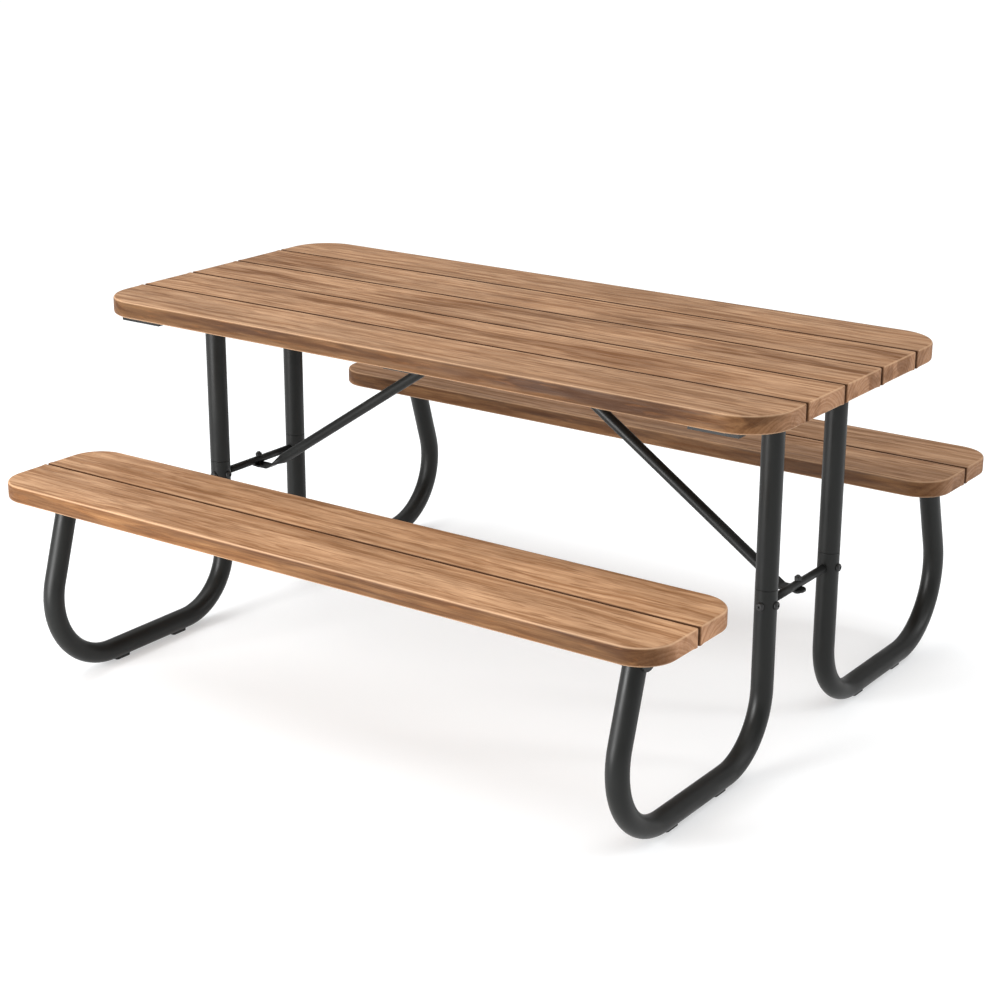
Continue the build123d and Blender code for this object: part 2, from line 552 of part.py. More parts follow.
def build_bolts():
    """Bolts, nuts and inserts of the frames."""
    bolt_length = 2 * CHEEK_OUTSIDE + NUT_HEIGHT + BOLT_END
    through = Pos(CHEEK_OUTSIDE, 0, 0) * Rot(0, -90, 0) * button_bolt(bolt_length)
    nut = Pos(-CHEEK_OUTSIDE, 0, 0) * Rot(0, -90, 0) * hex_nut()
    for node, y, z in (("post_bracket", POST_OFFSET, POST_BOLT_HEIGHT),
                       ("seat_bracket", LEG_BOLT_Y, LEG_BOLT_HEIGHT)):
        halves = [(side * FRAME_OFFSET, row * y) for _, side, row in each_frame_half()]
        save(group([Pos(x, py, z) * through for x, py in halves]), f"{node}_bolts")
        save(group([Pos(x, py, z) * nut for x, py in halves]), f"{node}_nuts")

    reach = TUBE_OD + SEAT_FIT + INSERT_LENGTH
    cross_bolt = Pos(0, POST_OFFSET + TUBE_RADIUS, CROSSBAR_HEIGHT) * Rot(90, 0, 0) * button_bolt(reach)
    joint_screw = (Pos(TUBE_RADIUS, POST_OFFSET, CROSSBAR_HEIGHT) * Rot(0, -90, 0)
                   * button_bolt(JOINT_SCREW_LENGTH))
    halves = [(side, row) for _, side, row in each_frame_half()]
    save(group([frame_copy(cross_bolt, side, row) for side, row in halves]), "crossbar_bolts")
    save(group([frame_copy(joint_screw, side, row) for side, row in halves]), "post_joint_screws")
    save(group([Pos(side * FRAME_OFFSET, 0, 0) * crossbar_insert(row) for side, row in halves]),
         "crossbar_inserts")

    tab_bottom = CROSSBAR_HEIGHT - CROSSBAR_OD / 2 - SEAT_FIT - BRACE_TAB_THICKNESS
    crossbar_top = CROSSBAR_HEIGHT + CROSSBAR_OD / 2
    low_length = crossbar_top - tab_bottom + NUT_HEIGHT + BOLT_END
    high_tab_bottom = TABLE_UNDERSIDE - CENTRE_RAIL_THICKNESS - SEAT_FIT - BRACE_TAB_THICKNESS
    high_length = TABLE_UNDERSIDE + WOOD_INSERT_LENGTH - BOLT_END - high_tab_bottom
    low_bolts, low_nuts, high_bolts, inserts = [], [], [], []
    for side in SIDES.values():
        low_bolts.append(Pos(side * FRAME_OFFSET, 0, tab_bottom) * button_bolt(low_length))
        low_nuts.append(Pos(side * FRAME_OFFSET, 0, crossbar_top) * hex_nut())
        spot = side * BRACE_TOP_OFFSET
        high_bolts.append(Pos(spot, 0, high_tab_bottom) * button_bolt(high_length))
        sleeve = cylinder_z(WOOD_INSERT_OD / 2, spot, 0, TABLE_UNDERSIDE,
                            TABLE_UNDERSIDE + WOOD_INSERT_LENGTH)
        bore = cylinder_z(BOLT_OD / 2 + FIT, spot, 0, TABLE_UNDERSIDE,
                          TABLE_UNDERSIDE + WOOD_INSERT_LENGTH)
        inserts.append(sleeve - bore)
    save(group(low_bolts), "brace_crossbar_bolts")
    save(group(low_nuts), "brace_crossbar_nuts")
    save(group(high_bolts), "brace_top_bolts")
    save(group(inserts), "brace_top_inserts")


def build_wood_screws():
    """Every screw that holds a rail, bracket or cleat to the planks."""
    seat_rail = TABLE_UNDERSIDE - RAIL_SHEET
    seat_plate = POST_PLATE_TOP - BRACKET_SHEET
    plate_spots = post_plate_screws()
    rails, plates = [], []
    for side in SIDES.values():
        for x, y in end_rail_screws():
            on_plate = y in plate_spots
            seat = seat_plate if on_plate else seat_rail
            (plates if on_plate else rails).append(wood_screw(side * FRAME_OFFSET, y, seat))
    rails += [wood_screw(x, y, TABLE_UNDERSIDE - CENTRE_RAIL_THICKNESS)
              for x, y in centre_rail_screws()]
    save(group(rails), "tabletop_rail_screws")
    save(group(plates), "post_bracket_screws")
    seat = SEAT_UNDERSIDE - BRACKET_SHEET
    seat_screws = [wood_screw(side * FRAME_OFFSET + x, row * y, seat)
                   for _, side, row in each_frame_half() for x, y in seat_plate_screws()]
    save(group(seat_screws), "seat_bracket_screws")
    cleats = [wood_screw(x, row * y, seat) for row in ROWS.values() for x, y in cleat_screws()]
    save(group(cleats), "bench_cleat_screws")


os.makedirs("parts", exist_ok=True)
build_planks()
build_frames()
build_bolts()
build_wood_screws()
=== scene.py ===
"""Picnic table looks: timber, powder-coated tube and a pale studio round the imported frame.

The planks and tubes are worked out again as fine surfaces in the places that the frame gives.
The small plates, fasteners and feet keep their frame shapes and get their finishes.
Lengths are metres: X runs along the planks, Y across the table, Z up.
"""
import math
from itertools import product

import bpy
import numpy as np
from bpy.props import FloatProperty, FloatVectorProperty, IntProperty, PointerProperty
from mathutils import Matrix, Vector


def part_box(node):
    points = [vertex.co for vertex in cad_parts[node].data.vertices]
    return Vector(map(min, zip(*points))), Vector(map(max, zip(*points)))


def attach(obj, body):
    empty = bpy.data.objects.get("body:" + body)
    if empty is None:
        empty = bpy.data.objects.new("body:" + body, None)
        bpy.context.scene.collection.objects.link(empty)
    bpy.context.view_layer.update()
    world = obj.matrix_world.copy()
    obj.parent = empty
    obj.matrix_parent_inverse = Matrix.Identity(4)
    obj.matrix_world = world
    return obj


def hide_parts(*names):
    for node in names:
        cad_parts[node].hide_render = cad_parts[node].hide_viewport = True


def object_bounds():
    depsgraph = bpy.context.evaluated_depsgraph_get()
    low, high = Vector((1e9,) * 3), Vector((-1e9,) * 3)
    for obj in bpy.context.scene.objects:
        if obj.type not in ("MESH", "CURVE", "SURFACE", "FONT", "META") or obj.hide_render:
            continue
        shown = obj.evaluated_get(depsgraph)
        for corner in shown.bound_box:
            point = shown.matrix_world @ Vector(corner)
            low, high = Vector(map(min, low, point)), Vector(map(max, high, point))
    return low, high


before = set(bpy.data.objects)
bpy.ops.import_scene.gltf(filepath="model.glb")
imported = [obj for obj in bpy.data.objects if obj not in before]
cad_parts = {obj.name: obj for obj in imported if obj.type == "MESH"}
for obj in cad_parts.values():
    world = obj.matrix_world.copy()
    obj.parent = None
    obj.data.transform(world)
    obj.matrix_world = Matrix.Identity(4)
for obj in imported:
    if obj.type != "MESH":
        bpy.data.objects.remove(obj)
FRAME_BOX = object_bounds()

bl_info = {
    "name": "Picnic Table Looks",
    "version": (1, 0, 0),
    "blender": (4, 5, 0),
    "location": "View3D > Sidebar > Picnic Table",
    "description": "Builds the finished planks, tubes and studio of a picnic table",
    "category": "Add Mesh",
}

BODY = "root"
ROWS = {"front": -1, "rear": 1}
SIDES = {"left": -1, "right": 1}
TABLE_PLANKS = [f"tabletop_plank_{number}" for number in range(1, 6)]
FASTENER_ENDINGS = ("_bolts", "_nuts", "_screws")
FLAT_MARGIN = 0.001           # flat strip kept beside every rounding, so that it shades true
SPIGOT_PLAY = 0.1             # gap round a spigot, as a share of the tube's wall
RING_STEP = 0.0025            # spacing of the rings near a brace's ends
FLOOR_REACH = 45.0            # radius of the studio floor in metres
SENSOR_WIDTH = 36.0           # camera sensor in millimetres
WHITE = (1.0, 1.0, 1.0, 1.0)
GRAIN_MASKS = ("Rings", "Heart", "Streaks", "Patches", "Fibres", "Strands", "Pores", "Clouds")
SURFACE_MASKS = {"Arris Highlight": "arris_highlight", "Gap Wall Shade": "gap_wall_shade", "End Grain": "end_grain",
                 "Side Grain": "side_grain", "Upper Side": "upper_side"}


# ---------------------------------------------------------------- sizes and colours
def length_setting(name, description, default):
    """A size in metres for the sidebar."""
    return FloatProperty(name=name, description=description, default=default, min=0.0,
                         unit="LENGTH", subtype="DISTANCE", precision=4)


def colour_setting(name, description, default):
    """A linear colour for the sidebar."""
    return FloatVectorProperty(name=name, description=description, default=default, size=3,
                               min=0.0, max=1.0, subtype="COLOR")


def angle_setting(name, description, degrees, **limits):
    """An angle for the sidebar, its default given in degrees."""
    return FloatProperty(name=name, description=description, default=math.radians(degrees),
                         subtype="ANGLE", **limits)


def share_setting(name, description, default, low=0.0, high=1.0):
    """A plain number for the sidebar."""
    return FloatProperty(name=name, description=description, default=default, min=low, max=high)


class PlankShape(bpy.types.PropertyGroup):
    """Roundings of the planks; their lengths and places come from the frame."""

    rim_rounding: length_setting("Rim rounding", "Rounding along the outer rim", 0.005)
    gap_rounding: length_setting("Gap rounding", "Rounding beside the gaps", 0.002)
    table_corner: length_setting("Table corner", "Plan radius of the tabletop corners", 0.092)
    bench_corner: length_setting("Bench corner", "Plan radius of the bench corners", 0.068)
    gap_corner: length_setting("Gap corner", "Plan radius where a gap meets an end", 0.004)
    steps: IntProperty(name="Rounding steps", description="Facets across one rounding",
                       default=6, min=2, max=16)


class TubeShape(bpy.types.PropertyGroup):
    """Bends, walls and ends of the tubes; diameters and places come from the frame."""

    wall: length_setting("Wall", "Thickness of the tube walls", 0.002)
    lip: length_setting("Lip", "Rounding on the cut ends of the tubes", 0.0006)
    inner_bend: length_setting("Inner bend", "Centre-line radius under a post", 0.130)
    outer_bend: length_setting("Outer bend", "Centre-line radius under a seat leg", 0.150)
    leg_lean: angle_setting("Leg lean", "Lean of the seat legs from upright", 17.0,
                            min=0.0, max=1.0)
    joint_rise: length_setting("Joint rise", "Crossbar to the joint in the posts", 0.030)
    joint_gap: length_setting("Joint gap", "Open line between post and hoop", 0.0003)
    tab_width: length_setting("Tab width", "Width of the flattened brace ends", 0.032)
    tab_thickness: length_setting("Tab thickness", "Thickness of the brace ends", 0.005)
    tab_length: length_setting("Tab length", "Brace bolt to the knee of its tab", 0.034)
    tab_knee: length_setting("Tab knee", "Bend radius where the tab turns level", 0.010)
    flare: length_setting("Flare", "Length from flat tab to round tube", 0.034)
    brace_diameter: length_setting("Brace diameter", "Outside diameter of the braces", 0.022)
    around: IntProperty(name="Around", description="Facets round a tube", default=56,
                        min=12, max=128)
    bend_step: angle_setting("Bend step", "Turn of each facet in a bend", 3.0, min=0.01, max=0.3)


class TimberFinish(bpy.types.PropertyGroup):
    """Colours and figure of the stained planks."""

    pale: colour_setting("Pale wood", "Light bands between the growth rings", (0.458, 0.272, 0.152))
    tan: colour_setting("Tan wood", "Darker bands of the growth rings", (0.232, 0.111, 0.048))
    heart: colour_setting("Heartwood", "Smoky streaks along the boards", (0.155, 0.063, 0.019))
    # This colour paints the dark patches on the long side faces and the painted shade on the walls of
    # the gaps.
    deep: colour_setting("Dark patches and gap shade", "Darkest patches on the edges", (0.050, 0.018, 0.006))
    ring_spacing: length_setting("Ring spacing", "Width of one growth ring", 0.0065)
    wander: length_setting("Ring wander", "How far the rings stray along a board", 0.034)
    roughness: share_setting("Roughness", "Roughness of the oiled surface", 0.52)
    relief: length_setting("Grain relief", "Depth of the brushed grain", 0.0004)


class MetalFinish(bpy.types.PropertyGroup):
    """Colours of the coat, fasteners, plastic feet and plated inserts."""

    coat: colour_setting("Charcoal coat", "Powder coat on tubes and plates", (0.0070, 0.0073, 0.0067))
    coat_roughness: share_setting("Coat roughness", "Roughness of the powder coat", 0.42)
    fastener: colour_setting("Black fastener", "Bolts, nuts and screws", (0.006, 0.006, 0.006))
    plastic: colour_setting("Black plastic", "Floor glides", (0.012, 0.012, 0.012))
    zinc: colour_setting("Zinc", "Threaded inserts", (0.52, 0.52, 0.50))


class StudioSetup(bpy.types.PropertyGroup):
    """Floor, lights and camera."""

    floor: colour_setting("Floor", "Pale floor", (0.588, 0.600, 0.608))
    glow: share_setting("Floor glow", "Even light given off by the floor", 0.42, 0.0, 2.0)
    sky: share_setting("Sky", "Brightness of the sky overhead", 1.8, 0.0, 5.0)
    horizon: share_setting("Horizon", "Brightness of the sky at the horizon", 0.30, 0.0, 5.0)
    key: share_setting("Key light", "Power of the low light on the left", 165.0, 0.0, 5000.0)
    overhead: share_setting("Overhead light", "Power of the light above", 60.0, 0.0, 5000.0)
    kicker: share_setting("Kicker light", "Power of the tall light on the right", 38.0, 0.0, 5000.0)
    azimuth: angle_setting("Azimuth", "Camera's turn from the front", 35.195)
    elevation: angle_setting("Elevation", "Camera's angle above the ground", 18.429)
    roll: angle_setting("Roll", "Camera's turn about its line of sight", 0.228)
    place: FloatVectorProperty(name="Camera place", description="Where the camera stands",
                               default=(2.3726, -3.3847, 1.7320), size=3, subtype="TRANSLATION",
                               unit="LENGTH")
    lens: FloatProperty(name="Lens", description="Focal length in millimetres on a 36 mm sensor",
                        default=76.98, min=10.0, max=300.0)


# ---------------------------------------------------------------- meshes
def mesh_piece(name, points, faces, material):
    """A smooth-shaded object at the origin that rides on the body, its faces turned outwards.

    The enclosed volume, a sum of corner . (next x last) / 6 over fans of triangles, is
    negative when the faces point inwards, and then every face is turned round.
    """
    volume = 0.0
    for block in faces:
        a = points[block[:, :1]]
        b, c = points[block[:, 1:-1]], points[block[:, 2:]]
        volume += float(np.sum(a * np.cross(b, c)) / 6.0)
    if volume < 0.0:
        faces = [block[:, ::-1] for block in faces]
    mesh = bpy.data.meshes.new(name)
    mesh.from_pydata(points.tolist(), [], [row for block in faces for row in block.tolist()])
    mesh.polygons.foreach_set("use_smooth", np.ones(len(mesh.polygons), dtype=bool))
    mesh.materials.append(material)
    mesh.update()
    piece = bpy.data.objects.new(name, mesh)
    bpy.context.scene.collection.objects.link(piece)
    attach(piece, BODY)
    return piece


def grid_faces(rings, around, closed_ends=False):
    """Quads of a grid of rings, closed round each ring and, if asked, from last ring to first."""
    ring = np.arange(rings if closed_ends else rings - 1)[:, None]
    spoke = np.arange(around)[None, :]
    after, beside = (ring + 1) % rings, (spoke + 1) % around
    corners = [ring * around + spoke, ring * around + beside,
               after * around + beside, after * around + spoke]
    return np.stack([np.broadcast_to(c, (len(ring), around)) for c in corners], -1).reshape(-1, 4)


def point_values(piece, name, values):
    """Stores one number for each vertex under a name that materials can read."""
    layer = piece.data.attributes.new(name, "FLOAT", "POINT")
    layer.data.foreach_set("value", np.asarray(values, dtype=np.float32).ravel())


# ---------------------------------------------------------------- planks
def plank_outline(low, high, corner_low, corner_high, rim, beside_gap):
    """Outline of a plank in plan, with its outward directions and the rounding at each point.

    Four quarter circles are joined by straight runs, anticlockwise.  Corners on the side of
    lower Y have radius corner_low, the others corner_high.  A corner that is smaller than the
    rim's own is one beside a gap, where the rounding eases from rim to beside_gap.
    """
    centre = (low + high) / 2
    corners = [(high[0], low[1], corner_low, -90), (high[0], high[1], corner_high, 0),
               (low[0], high[1], corner_high, 90), (low[0], low[1], corner_low, 180)]
    points, normals, rounding = [], [], []
    for x, y, radius, start in corners:
        outer = radius > 2 * rim
        turn = np.radians(start + np.linspace(0, 90, 25 if outer else 7))
        normal = np.stack([np.cos(turn), np.sin(turn)], -1)
        pivot = np.array([x, y]) - radius * np.sign(np.array([x, y]) - centre)
        share = np.full(len(turn), rim if outer else beside_gap)
        if not outer:
            # the run along the end eases to the gap's smaller rounding over a short stretch
            ease = np.linspace(0, 1, 7)[1:]
            stretch = rim * 2.5 * (1 - ease)
            toward_middle = np.array([0.0, np.sign(centre[1] - y)])
            end_point = pivot + radius * np.array([np.sign(x - centre[0]), 0.0])
            extra = end_point + stretch[:, None] * toward_middle
            smooth = ease * ease * (3 - 2 * ease)
            eased = rim + (beside_gap - rim) * smooth
            flat = np.repeat(np.array([[np.sign(x - centre[0]), 0.0]]), len(ease), 0)
            leaves_end = np.abs(normal[0, 0]) > 0.5
            arc = pivot + radius * normal
            if leaves_end:
                points += [extra[:-1], arc]
                normals += [flat[:-1], normal]
                rounding += [eased[:-1], share]
            else:
                points += [arc, extra[-2::-1]]
                normals += [normal, flat[-2::-1]]
                rounding += [share, eased[-2::-1]]
        else:
            points.append(pivot + radius * normal)
            normals.append(normal)
            rounding.append(share)
    return np.concatenate(points), np.concatenate(normals), np.concatenate(rounding)


def plank_surface(outline, bottom, top, steps, beside_gap):
    """A plank as a section carried round its outline.

    At angle t from the flat face, the rounding of radius a stands inside the outline by
    a (1 - sin t) and below the face by a (1 - cos t); the same section is mirrored below.
    Returns points, face blocks, and per-point values of the painted highlight on the rounded rim, the
    painted shade on the gap walls, end grain and side grain.
    """
    flat, normal, rounding = outline
    turn = np.linspace(0.0, math.pi / 2, steps + 1)
    inset = [rounding + FLAT_MARGIN] + [rounding * (1 - math.sin(t)) for t in turn]
    depth = [np.zeros_like(rounding)] + [rounding * (1 - math.cos(t)) for t in turn]
    facing = [0.0] + [math.sin(t) for t in turn]
    # Painted highlight along the rounded rim: a weight that peaks halfway round each rounding.
    painted_highlight = [0.0] + [math.sin(2 * t) ** 4 for t in turn]
    inset.append(np.zeros_like(rounding))
    depth.append(rounding + FLAT_MARGIN)
    facing.append(1.0)
    painted_highlight.append(0.0)
    upper = [np.column_stack([flat - i[:, None] * normal, top - d]) for i, d in zip(inset, depth)]
    lower = [np.column_stack([flat - i[:, None] * normal, bottom + d]) for i, d in zip(inset, depth)]
    rings = upper + lower[::-1]
    facing, painted_highlight = np.array(facing + facing[::-1]), np.array(painted_highlight + painted_highlight[::-1])
    count = len(flat)
    points = np.concatenate(rings)
    at_gap = rounding < beside_gap * 1.01
    walls = grid_faces(len(rings), count)
    top_face = np.arange(count)[None, ::-1]
    bottom_face = np.arange(count)[None, :] + (len(rings) - 1) * count
    values = {
        # Masks for painted light: a highlight on the rounded rim and shade on the walls of the gaps.
        "arris_highlight": (painted_highlight[:, None] * ~at_gap).ravel(),
        "gap_wall_shade": (np.sqrt(facing)[:, None] * (at_gap * normal[:, 1] ** 2)).ravel(),
        "end_grain": (facing[:, None] * np.abs(normal[:, 0])).ravel(),
        "side_grain": (facing[:, None] * np.abs(normal[:, 1])).ravel(),
        "upper_side": ((points[:, 2] - bottom) / (top - bottom)),
    }
    return points, [walls, top_face, bottom_face], values


def build_plank(name, corner, outer_low, outer_high, material):
    """One plank in its frame place, rounded at the corners of the row that it belongs to."""
    shape = bpy.context.scene.picnic_planks
    low, high = (np.array(corner_point) for corner_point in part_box(name))
    outline = plank_outline(low[:2], high[:2], corner if outer_low else shape.gap_corner,
                            corner if outer_high else shape.gap_corner,
                            shape.rim_rounding, shape.gap_rounding)
    points, faces, values = plank_surface(outline, low[2], high[2], shape.steps,
                                          shape.gap_rounding)
    piece = mesh_piece(f"{name}_timber", points, faces, material)
    for key, numbers in values.items():
        point_values(piece, key, numbers)
    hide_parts(name)


# ---------------------------------------------------------------- tubes
def bent_line(corners, radii, step):
    """Centre line through corners, its turns made as arcs.

    Each arc starts radius * tan(turn / 2) before its corner and is sampled at equal angles.
    Returns the points and their unit tangents.
    """
    corners = [np.array(corner, dtype=float) for corner in corners]
    points, tangents = [corners[0]], []
    first = (corners[1] - corners[0]) / np.linalg.norm(corners[1] - corners[0])
    tangents.append(first)
    for before, corner, after, radius in zip(corners, corners[1:], corners[2:], radii):
        way_in = (corner - before) / np.linalg.norm(corner - before)
        way_out = (after - corner) / np.linalg.norm(after - corner)
        turn = math.acos(float(np.clip(way_in @ way_out, -1, 1)))
        inward = way_out - way_in * (way_in @ way_out)
        inward /= np.linalg.norm(inward)
        start = corner - way_in * radius * math.tan(turn / 2)
        pivot = start + inward * radius
        angle = np.linspace(0, turn, max(2, math.ceil(turn / step)) + 1)[:, None]
        points.extend(pivot - inward * radius * np.cos(angle) + way_in * radius * np.sin(angle))
        tangents.extend(way_in * np.cos(angle) + inward * np.sin(angle))
    points.append(corners[-1])
    last = (corners[-1] - corners[-2]) / np.linalg.norm(corners[-1] - corners[-2])
    tangents.append(last)
    return np.array(points), np.array(tangents)


def ring_points(centres, tangents, across, half_wide, half_thick, squareness, around):
    """Rings about a centre line, each a superellipse |u/a|^n + |v/b|^n = 1.

    u runs along the fixed direction across, v along tangent x across; a and b are the half
    sizes and n the squareness of each ring, 2 for a circle.
    """
    angle = np.linspace(0, 2 * math.pi, around, endpoint=False)[None, :]
    power = 2.0 / np.asarray(squareness, dtype=float)[:, None]
    u = np.sign(np.cos(angle)) * np.abs(np.cos(angle)) ** power * np.asarray(half_wide)[:, None]
    v = np.sign(np.sin(angle)) * np.abs(np.sin(angle)) ** power * np.asarray(half_thick)[:, None]
    across = np.array(across, dtype=float)
    upright = np.cross(tangents, across)
    return centres[:, None, :] + u[..., None] * across + v[..., None] * upright[:, None, :]


def round_rings(centres, tangents, radii, around):
    """Circular rings about a centre line, their first direction along X."""
    return ring_points(centres, tangents, (1, 0, 0), radii, radii, np.full(len(radii), 2.0), around)


def tube_wall(centres, tangents, outer, wall, lip, around):
    """A tube as one closed skin: out along the outer radius, back along the bore.

    The rings at both ends step in by the lip over an eighth and a quarter turn, so that the
    cut ends are eased, one more ring just past them keeps the wall's shading even, and the
    last bore ring joins the first outer ring.
    """
    ease = np.array([1.0, 0.3, 0.0, 0.0]) * lip
    along = np.array([0.0, 0.3, 1.0, 1.0]) * lip + np.array([0.0, 0.0, 0.0, FLAT_MARGIN])
    start = centres[0] + tangents[0] * along[:, None]
    finish = centres[-1] - tangents[-1] * along[::-1, None]
    line = np.concatenate([start, centres[1:-1], finish])
    heading = np.concatenate([np.repeat(tangents[:1], len(along), 0), tangents[1:-1],
                              np.repeat(tangents[-1:], len(along), 0)])
    outside = np.concatenate([outer - ease, np.full(len(centres) - 2, outer), outer - ease[::-1]])
    inside = np.full(len(line), outer - wall)
    line, heading = np.concatenate([line, line[::-1]]), np.concatenate([heading, heading[::-1]])
    rings = round_rings(line, heading, np.concatenate([outside, inside]), around)
    return rings, grid_faces(len(line), around, closed_ends=True)


def level_cut(rings, tangent, height, which):
    """Slides the points of some rings along the tangent until they lie at one height."""
    slide = (height - rings[which, :, 2]) / tangent[2]
    rings[which] += slide[..., None] * tangent


def coated_tube(node, rings, faces):
    """A piece in charcoal coat that stands for a frame tube."""
    piece = mesh_piece(f"{node}_tube", rings.reshape(-1, 3), faces, charcoal_coat())
    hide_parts(node)


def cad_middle(node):
    """Middle of a frame piece's box."""
    low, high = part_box(node)
    return (low + high) / 2


def build_leg_hoop(row_name, side_name):
    """One leg hoop: post foot, floor run and leaning seat leg in a single bent tube."""
    shape = bpy.context.scene.picnic_tubes
    node = f"leg_hoop_{row_name}_{side_name}"
    low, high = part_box(node)
    row = ROWS[row_name]
    radius = (high.x - low.x) / 2
    x = (high.x + low.x) / 2
    run = low.z + radius
    near, far = sorted((abs(low.y), abs(high.y)))
    post = near + radius
    bend = far - radius - shape.outer_bend
    lean = shape.leg_lean
    # the leaning line touches the outer bend, which fixes where it meets the floor run
    corner = bend + shape.outer_bend * (1 / math.cos(lean) + math.tan(lean))
    overshoot = 2 * radius
    reach = high.z + overshoot - run
    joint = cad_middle(f"crossbar_{side_name}").z + shape.joint_rise
    corners = [(x, row * post, joint), (x, row * post, run), (x, row * corner, run),
               (x, row * (corner - reach * math.tan(lean)), run + reach)]
    centres, tangents = bent_line(corners, (shape.inner_bend, shape.outer_bend), shape.bend_step)
    # the last point moves back to where the centre line crosses the cut
    centres[-1] += tangents[-1] * (high.z - centres[-1][2]) / tangents[-1][2]
    rings, faces = tube_wall(centres, tangents, radius, shape.wall, shape.lip, shape.around)
    half = len(rings) // 2
    for ring, drop in ((half - 4, shape.lip + FLAT_MARGIN), (half - 3, shape.lip),
                       (half - 2, shape.lip * 0.3), (half - 1, 0.0), (half, 0.0)):
        level_cut(rings, tangents[-1], high.z - drop, slice(ring, ring + 1))
    coated_tube(node, rings, [faces])


def build_post(row_name, side_name):
    """One post: full tube above the joint and a narrower spigot inside the hoop below it."""
    shape = bpy.context.scene.picnic_tubes
    node = f"post_{row_name}_{side_name}"
    low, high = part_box(node)
    radius = (high.x - low.x) / 2
    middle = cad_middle(node)
    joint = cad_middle(f"crossbar_{side_name}").z + shape.joint_rise + shape.joint_gap
    spigot = radius - (1 + SPIGOT_PLAY) * shape.wall
    lip = shape.lip
    heights = [low.z, low.z + lip, joint, joint, joint + 0.3 * lip, joint + lip,
               joint + lip + FLAT_MARGIN, high.z - lip - FLAT_MARGIN, high.z - lip,
               high.z - 0.3 * lip, high.z]
    radii = [spigot - lip, spigot, spigot, radius - lip, radius - 0.3 * lip, radius,
             radius, radius, radius, radius - 0.3 * lip, radius - lip]
    bore = spigot - shape.wall
    heights = np.array(heights + [high.z, low.z])
    radii = np.array(radii + [bore, bore])
    centres = np.column_stack([np.full(len(heights), middle.x), np.full(len(heights), middle.y),
                               heights])
    upward = np.repeat(np.array([[0.0, 0.0, 1.0]]), len(heights), 0)
    rings = round_rings(centres, upward, radii, shape.around)
    coated_tube(node, rings, [grid_faces(len(rings), shape.around, closed_ends=True)])


def build_crossbar(side_name):
    """Thin tube between two posts, each end coped to the round post.

    A point u to the side of the middle starts sqrt(R^2 - u^2) from the post's axis, where R is
    the post's radius with its clearance.
    """
    shape = bpy.context.scene.picnic_tubes
    node = f"crossbar_{side_name}"
    low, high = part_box(node)
    radius = (high.x - low.x) / 2
    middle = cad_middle(node)
    post_low, post_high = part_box(f"post_rear_{side_name}")
    post_radius = (post_high.x - post_low.x) / 2 + shape.joint_gap
    post_y = (post_high.y + post_low.y) / 2
    around = shape.around
    places = np.array([-1.0, -0.5, 0.5, 1.0, 1.0, -1.0])
    radii = np.array([radius] * 4 + [radius - shape.wall] * 2)
    count = len(places)
    centres = np.column_stack([np.full(count, middle.x), places * post_y / 2,
                               np.full(count, middle.z)])
    along = np.repeat(np.array([[0.0, 1.0, 0.0]]), count, 0)
    rings = round_rings(centres, along, radii, around)
    sideways = rings[..., 0] - middle.x
    cope = post_y - np.sqrt(post_radius ** 2 - sideways ** 2)
    at_end = np.abs(places) == 1.0
    rings[at_end, :, 1] = (np.sign(places)[:, None] * cope)[at_end]
    coated_tube(node, rings, [grid_faces(len(rings), around, closed_ends=True)])


def build_brace(side_name):
    """One brace: round tube that is pressed flat at both ends, bends level and ends round.

    Along the line, the section goes from a flat strip to a circle with the smooth step
    s^2 (3 - 2 s), and the tab's half width closes as sqrt(w^2 - d^2) over its last w.
    """
    shape = bpy.context.scene.picnic_tubes
    node = f"brace_{side_name}"
    side = SIDES[side_name]
    low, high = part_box(node)
    inner, outer = sorted((abs(low.x), abs(high.x)))
    half_wide, half_thick = shape.tab_width / 2, shape.tab_thickness / 2
    round_radius = shape.brace_diameter / 2
    tips = (outer, inner)
    knees = (outer - half_wide - shape.tab_length, inner + half_wide + shape.tab_length)
    heights = (low.z + half_thick, high.z - half_thick)
    corners = [(side * tips[0], 0.0, heights[0]), (side * knees[0], 0.0, heights[0]),
               (side * knees[1], 0.0, heights[1]), (side * tips[1], 0.0, heights[1])]
    line = bent_line(corners, (shape.tab_knee,) * 2, shape.bend_step * 2)[0]
    line, heading = resample(line, RING_STEP, shape.tab_width)
    travelled = travel(line)
    from_end = np.minimum(travelled, travelled[-1] - travelled)
    flat_until = half_wide + shape.tab_length + 1.5 * shape.tab_knee
    step = np.clip((from_end - flat_until) / shape.flare, 0, 1)
    step = step * step * (3 - 2 * step)
    wide = half_wide + (round_radius - half_wide) * step
    thick = half_thick + (round_radius - half_thick) * step
    squareness = 2.0 + 5.0 * (1 - step) ** 2
    rounded = np.clip(from_end / half_wide, 0, 1)
    tip = np.sqrt(np.clip(1 - (1 - rounded) ** 2, 0, 1))
    wide = wide * np.maximum(tip, 0.02)
    thick = thick * np.clip(from_end / (half_thick * 0.5), 0.35, 1) ** 0.5
    rings = ring_points(line, heading, (0, 1, 0), wide, thick, squareness, shape.around)
    faces = [grid_faces(len(rings), shape.around), np.arange(shape.around)[None, ::-1],
             np.arange(shape.around)[None, :] + (len(rings) - 1) * shape.around]
    coated_tube(node, rings, faces)


def travel(line):
    """Distance along a line from its start to each of its points."""
    return np.concatenate([[0], np.cumsum(np.linalg.norm(np.diff(line, axis=0), axis=1))])


def resample(line, fine, reach):
    """Points along a line: closely spaced near both ends, sparser in the long middle."""
    travelled = travel(line)
    total = travelled[-1]
    shares = np.linspace(0, 1, 9) ** 2 * fine * 4
    near = np.concatenate([shares, np.arange(fine * 5, 4.5 * reach, fine)])
    middle = np.linspace(near[-1], total - near[-1], 24)[1:-1]
    places = np.concatenate([near, middle, (total - near)[::-1]])
    points = np.column_stack([np.interp(places, travelled, line[:, k]) for k in range(3)])
    heading = np.gradient(points, places, axis=0)
    return points, heading / np.linalg.norm(heading, axis=1)[:, None]


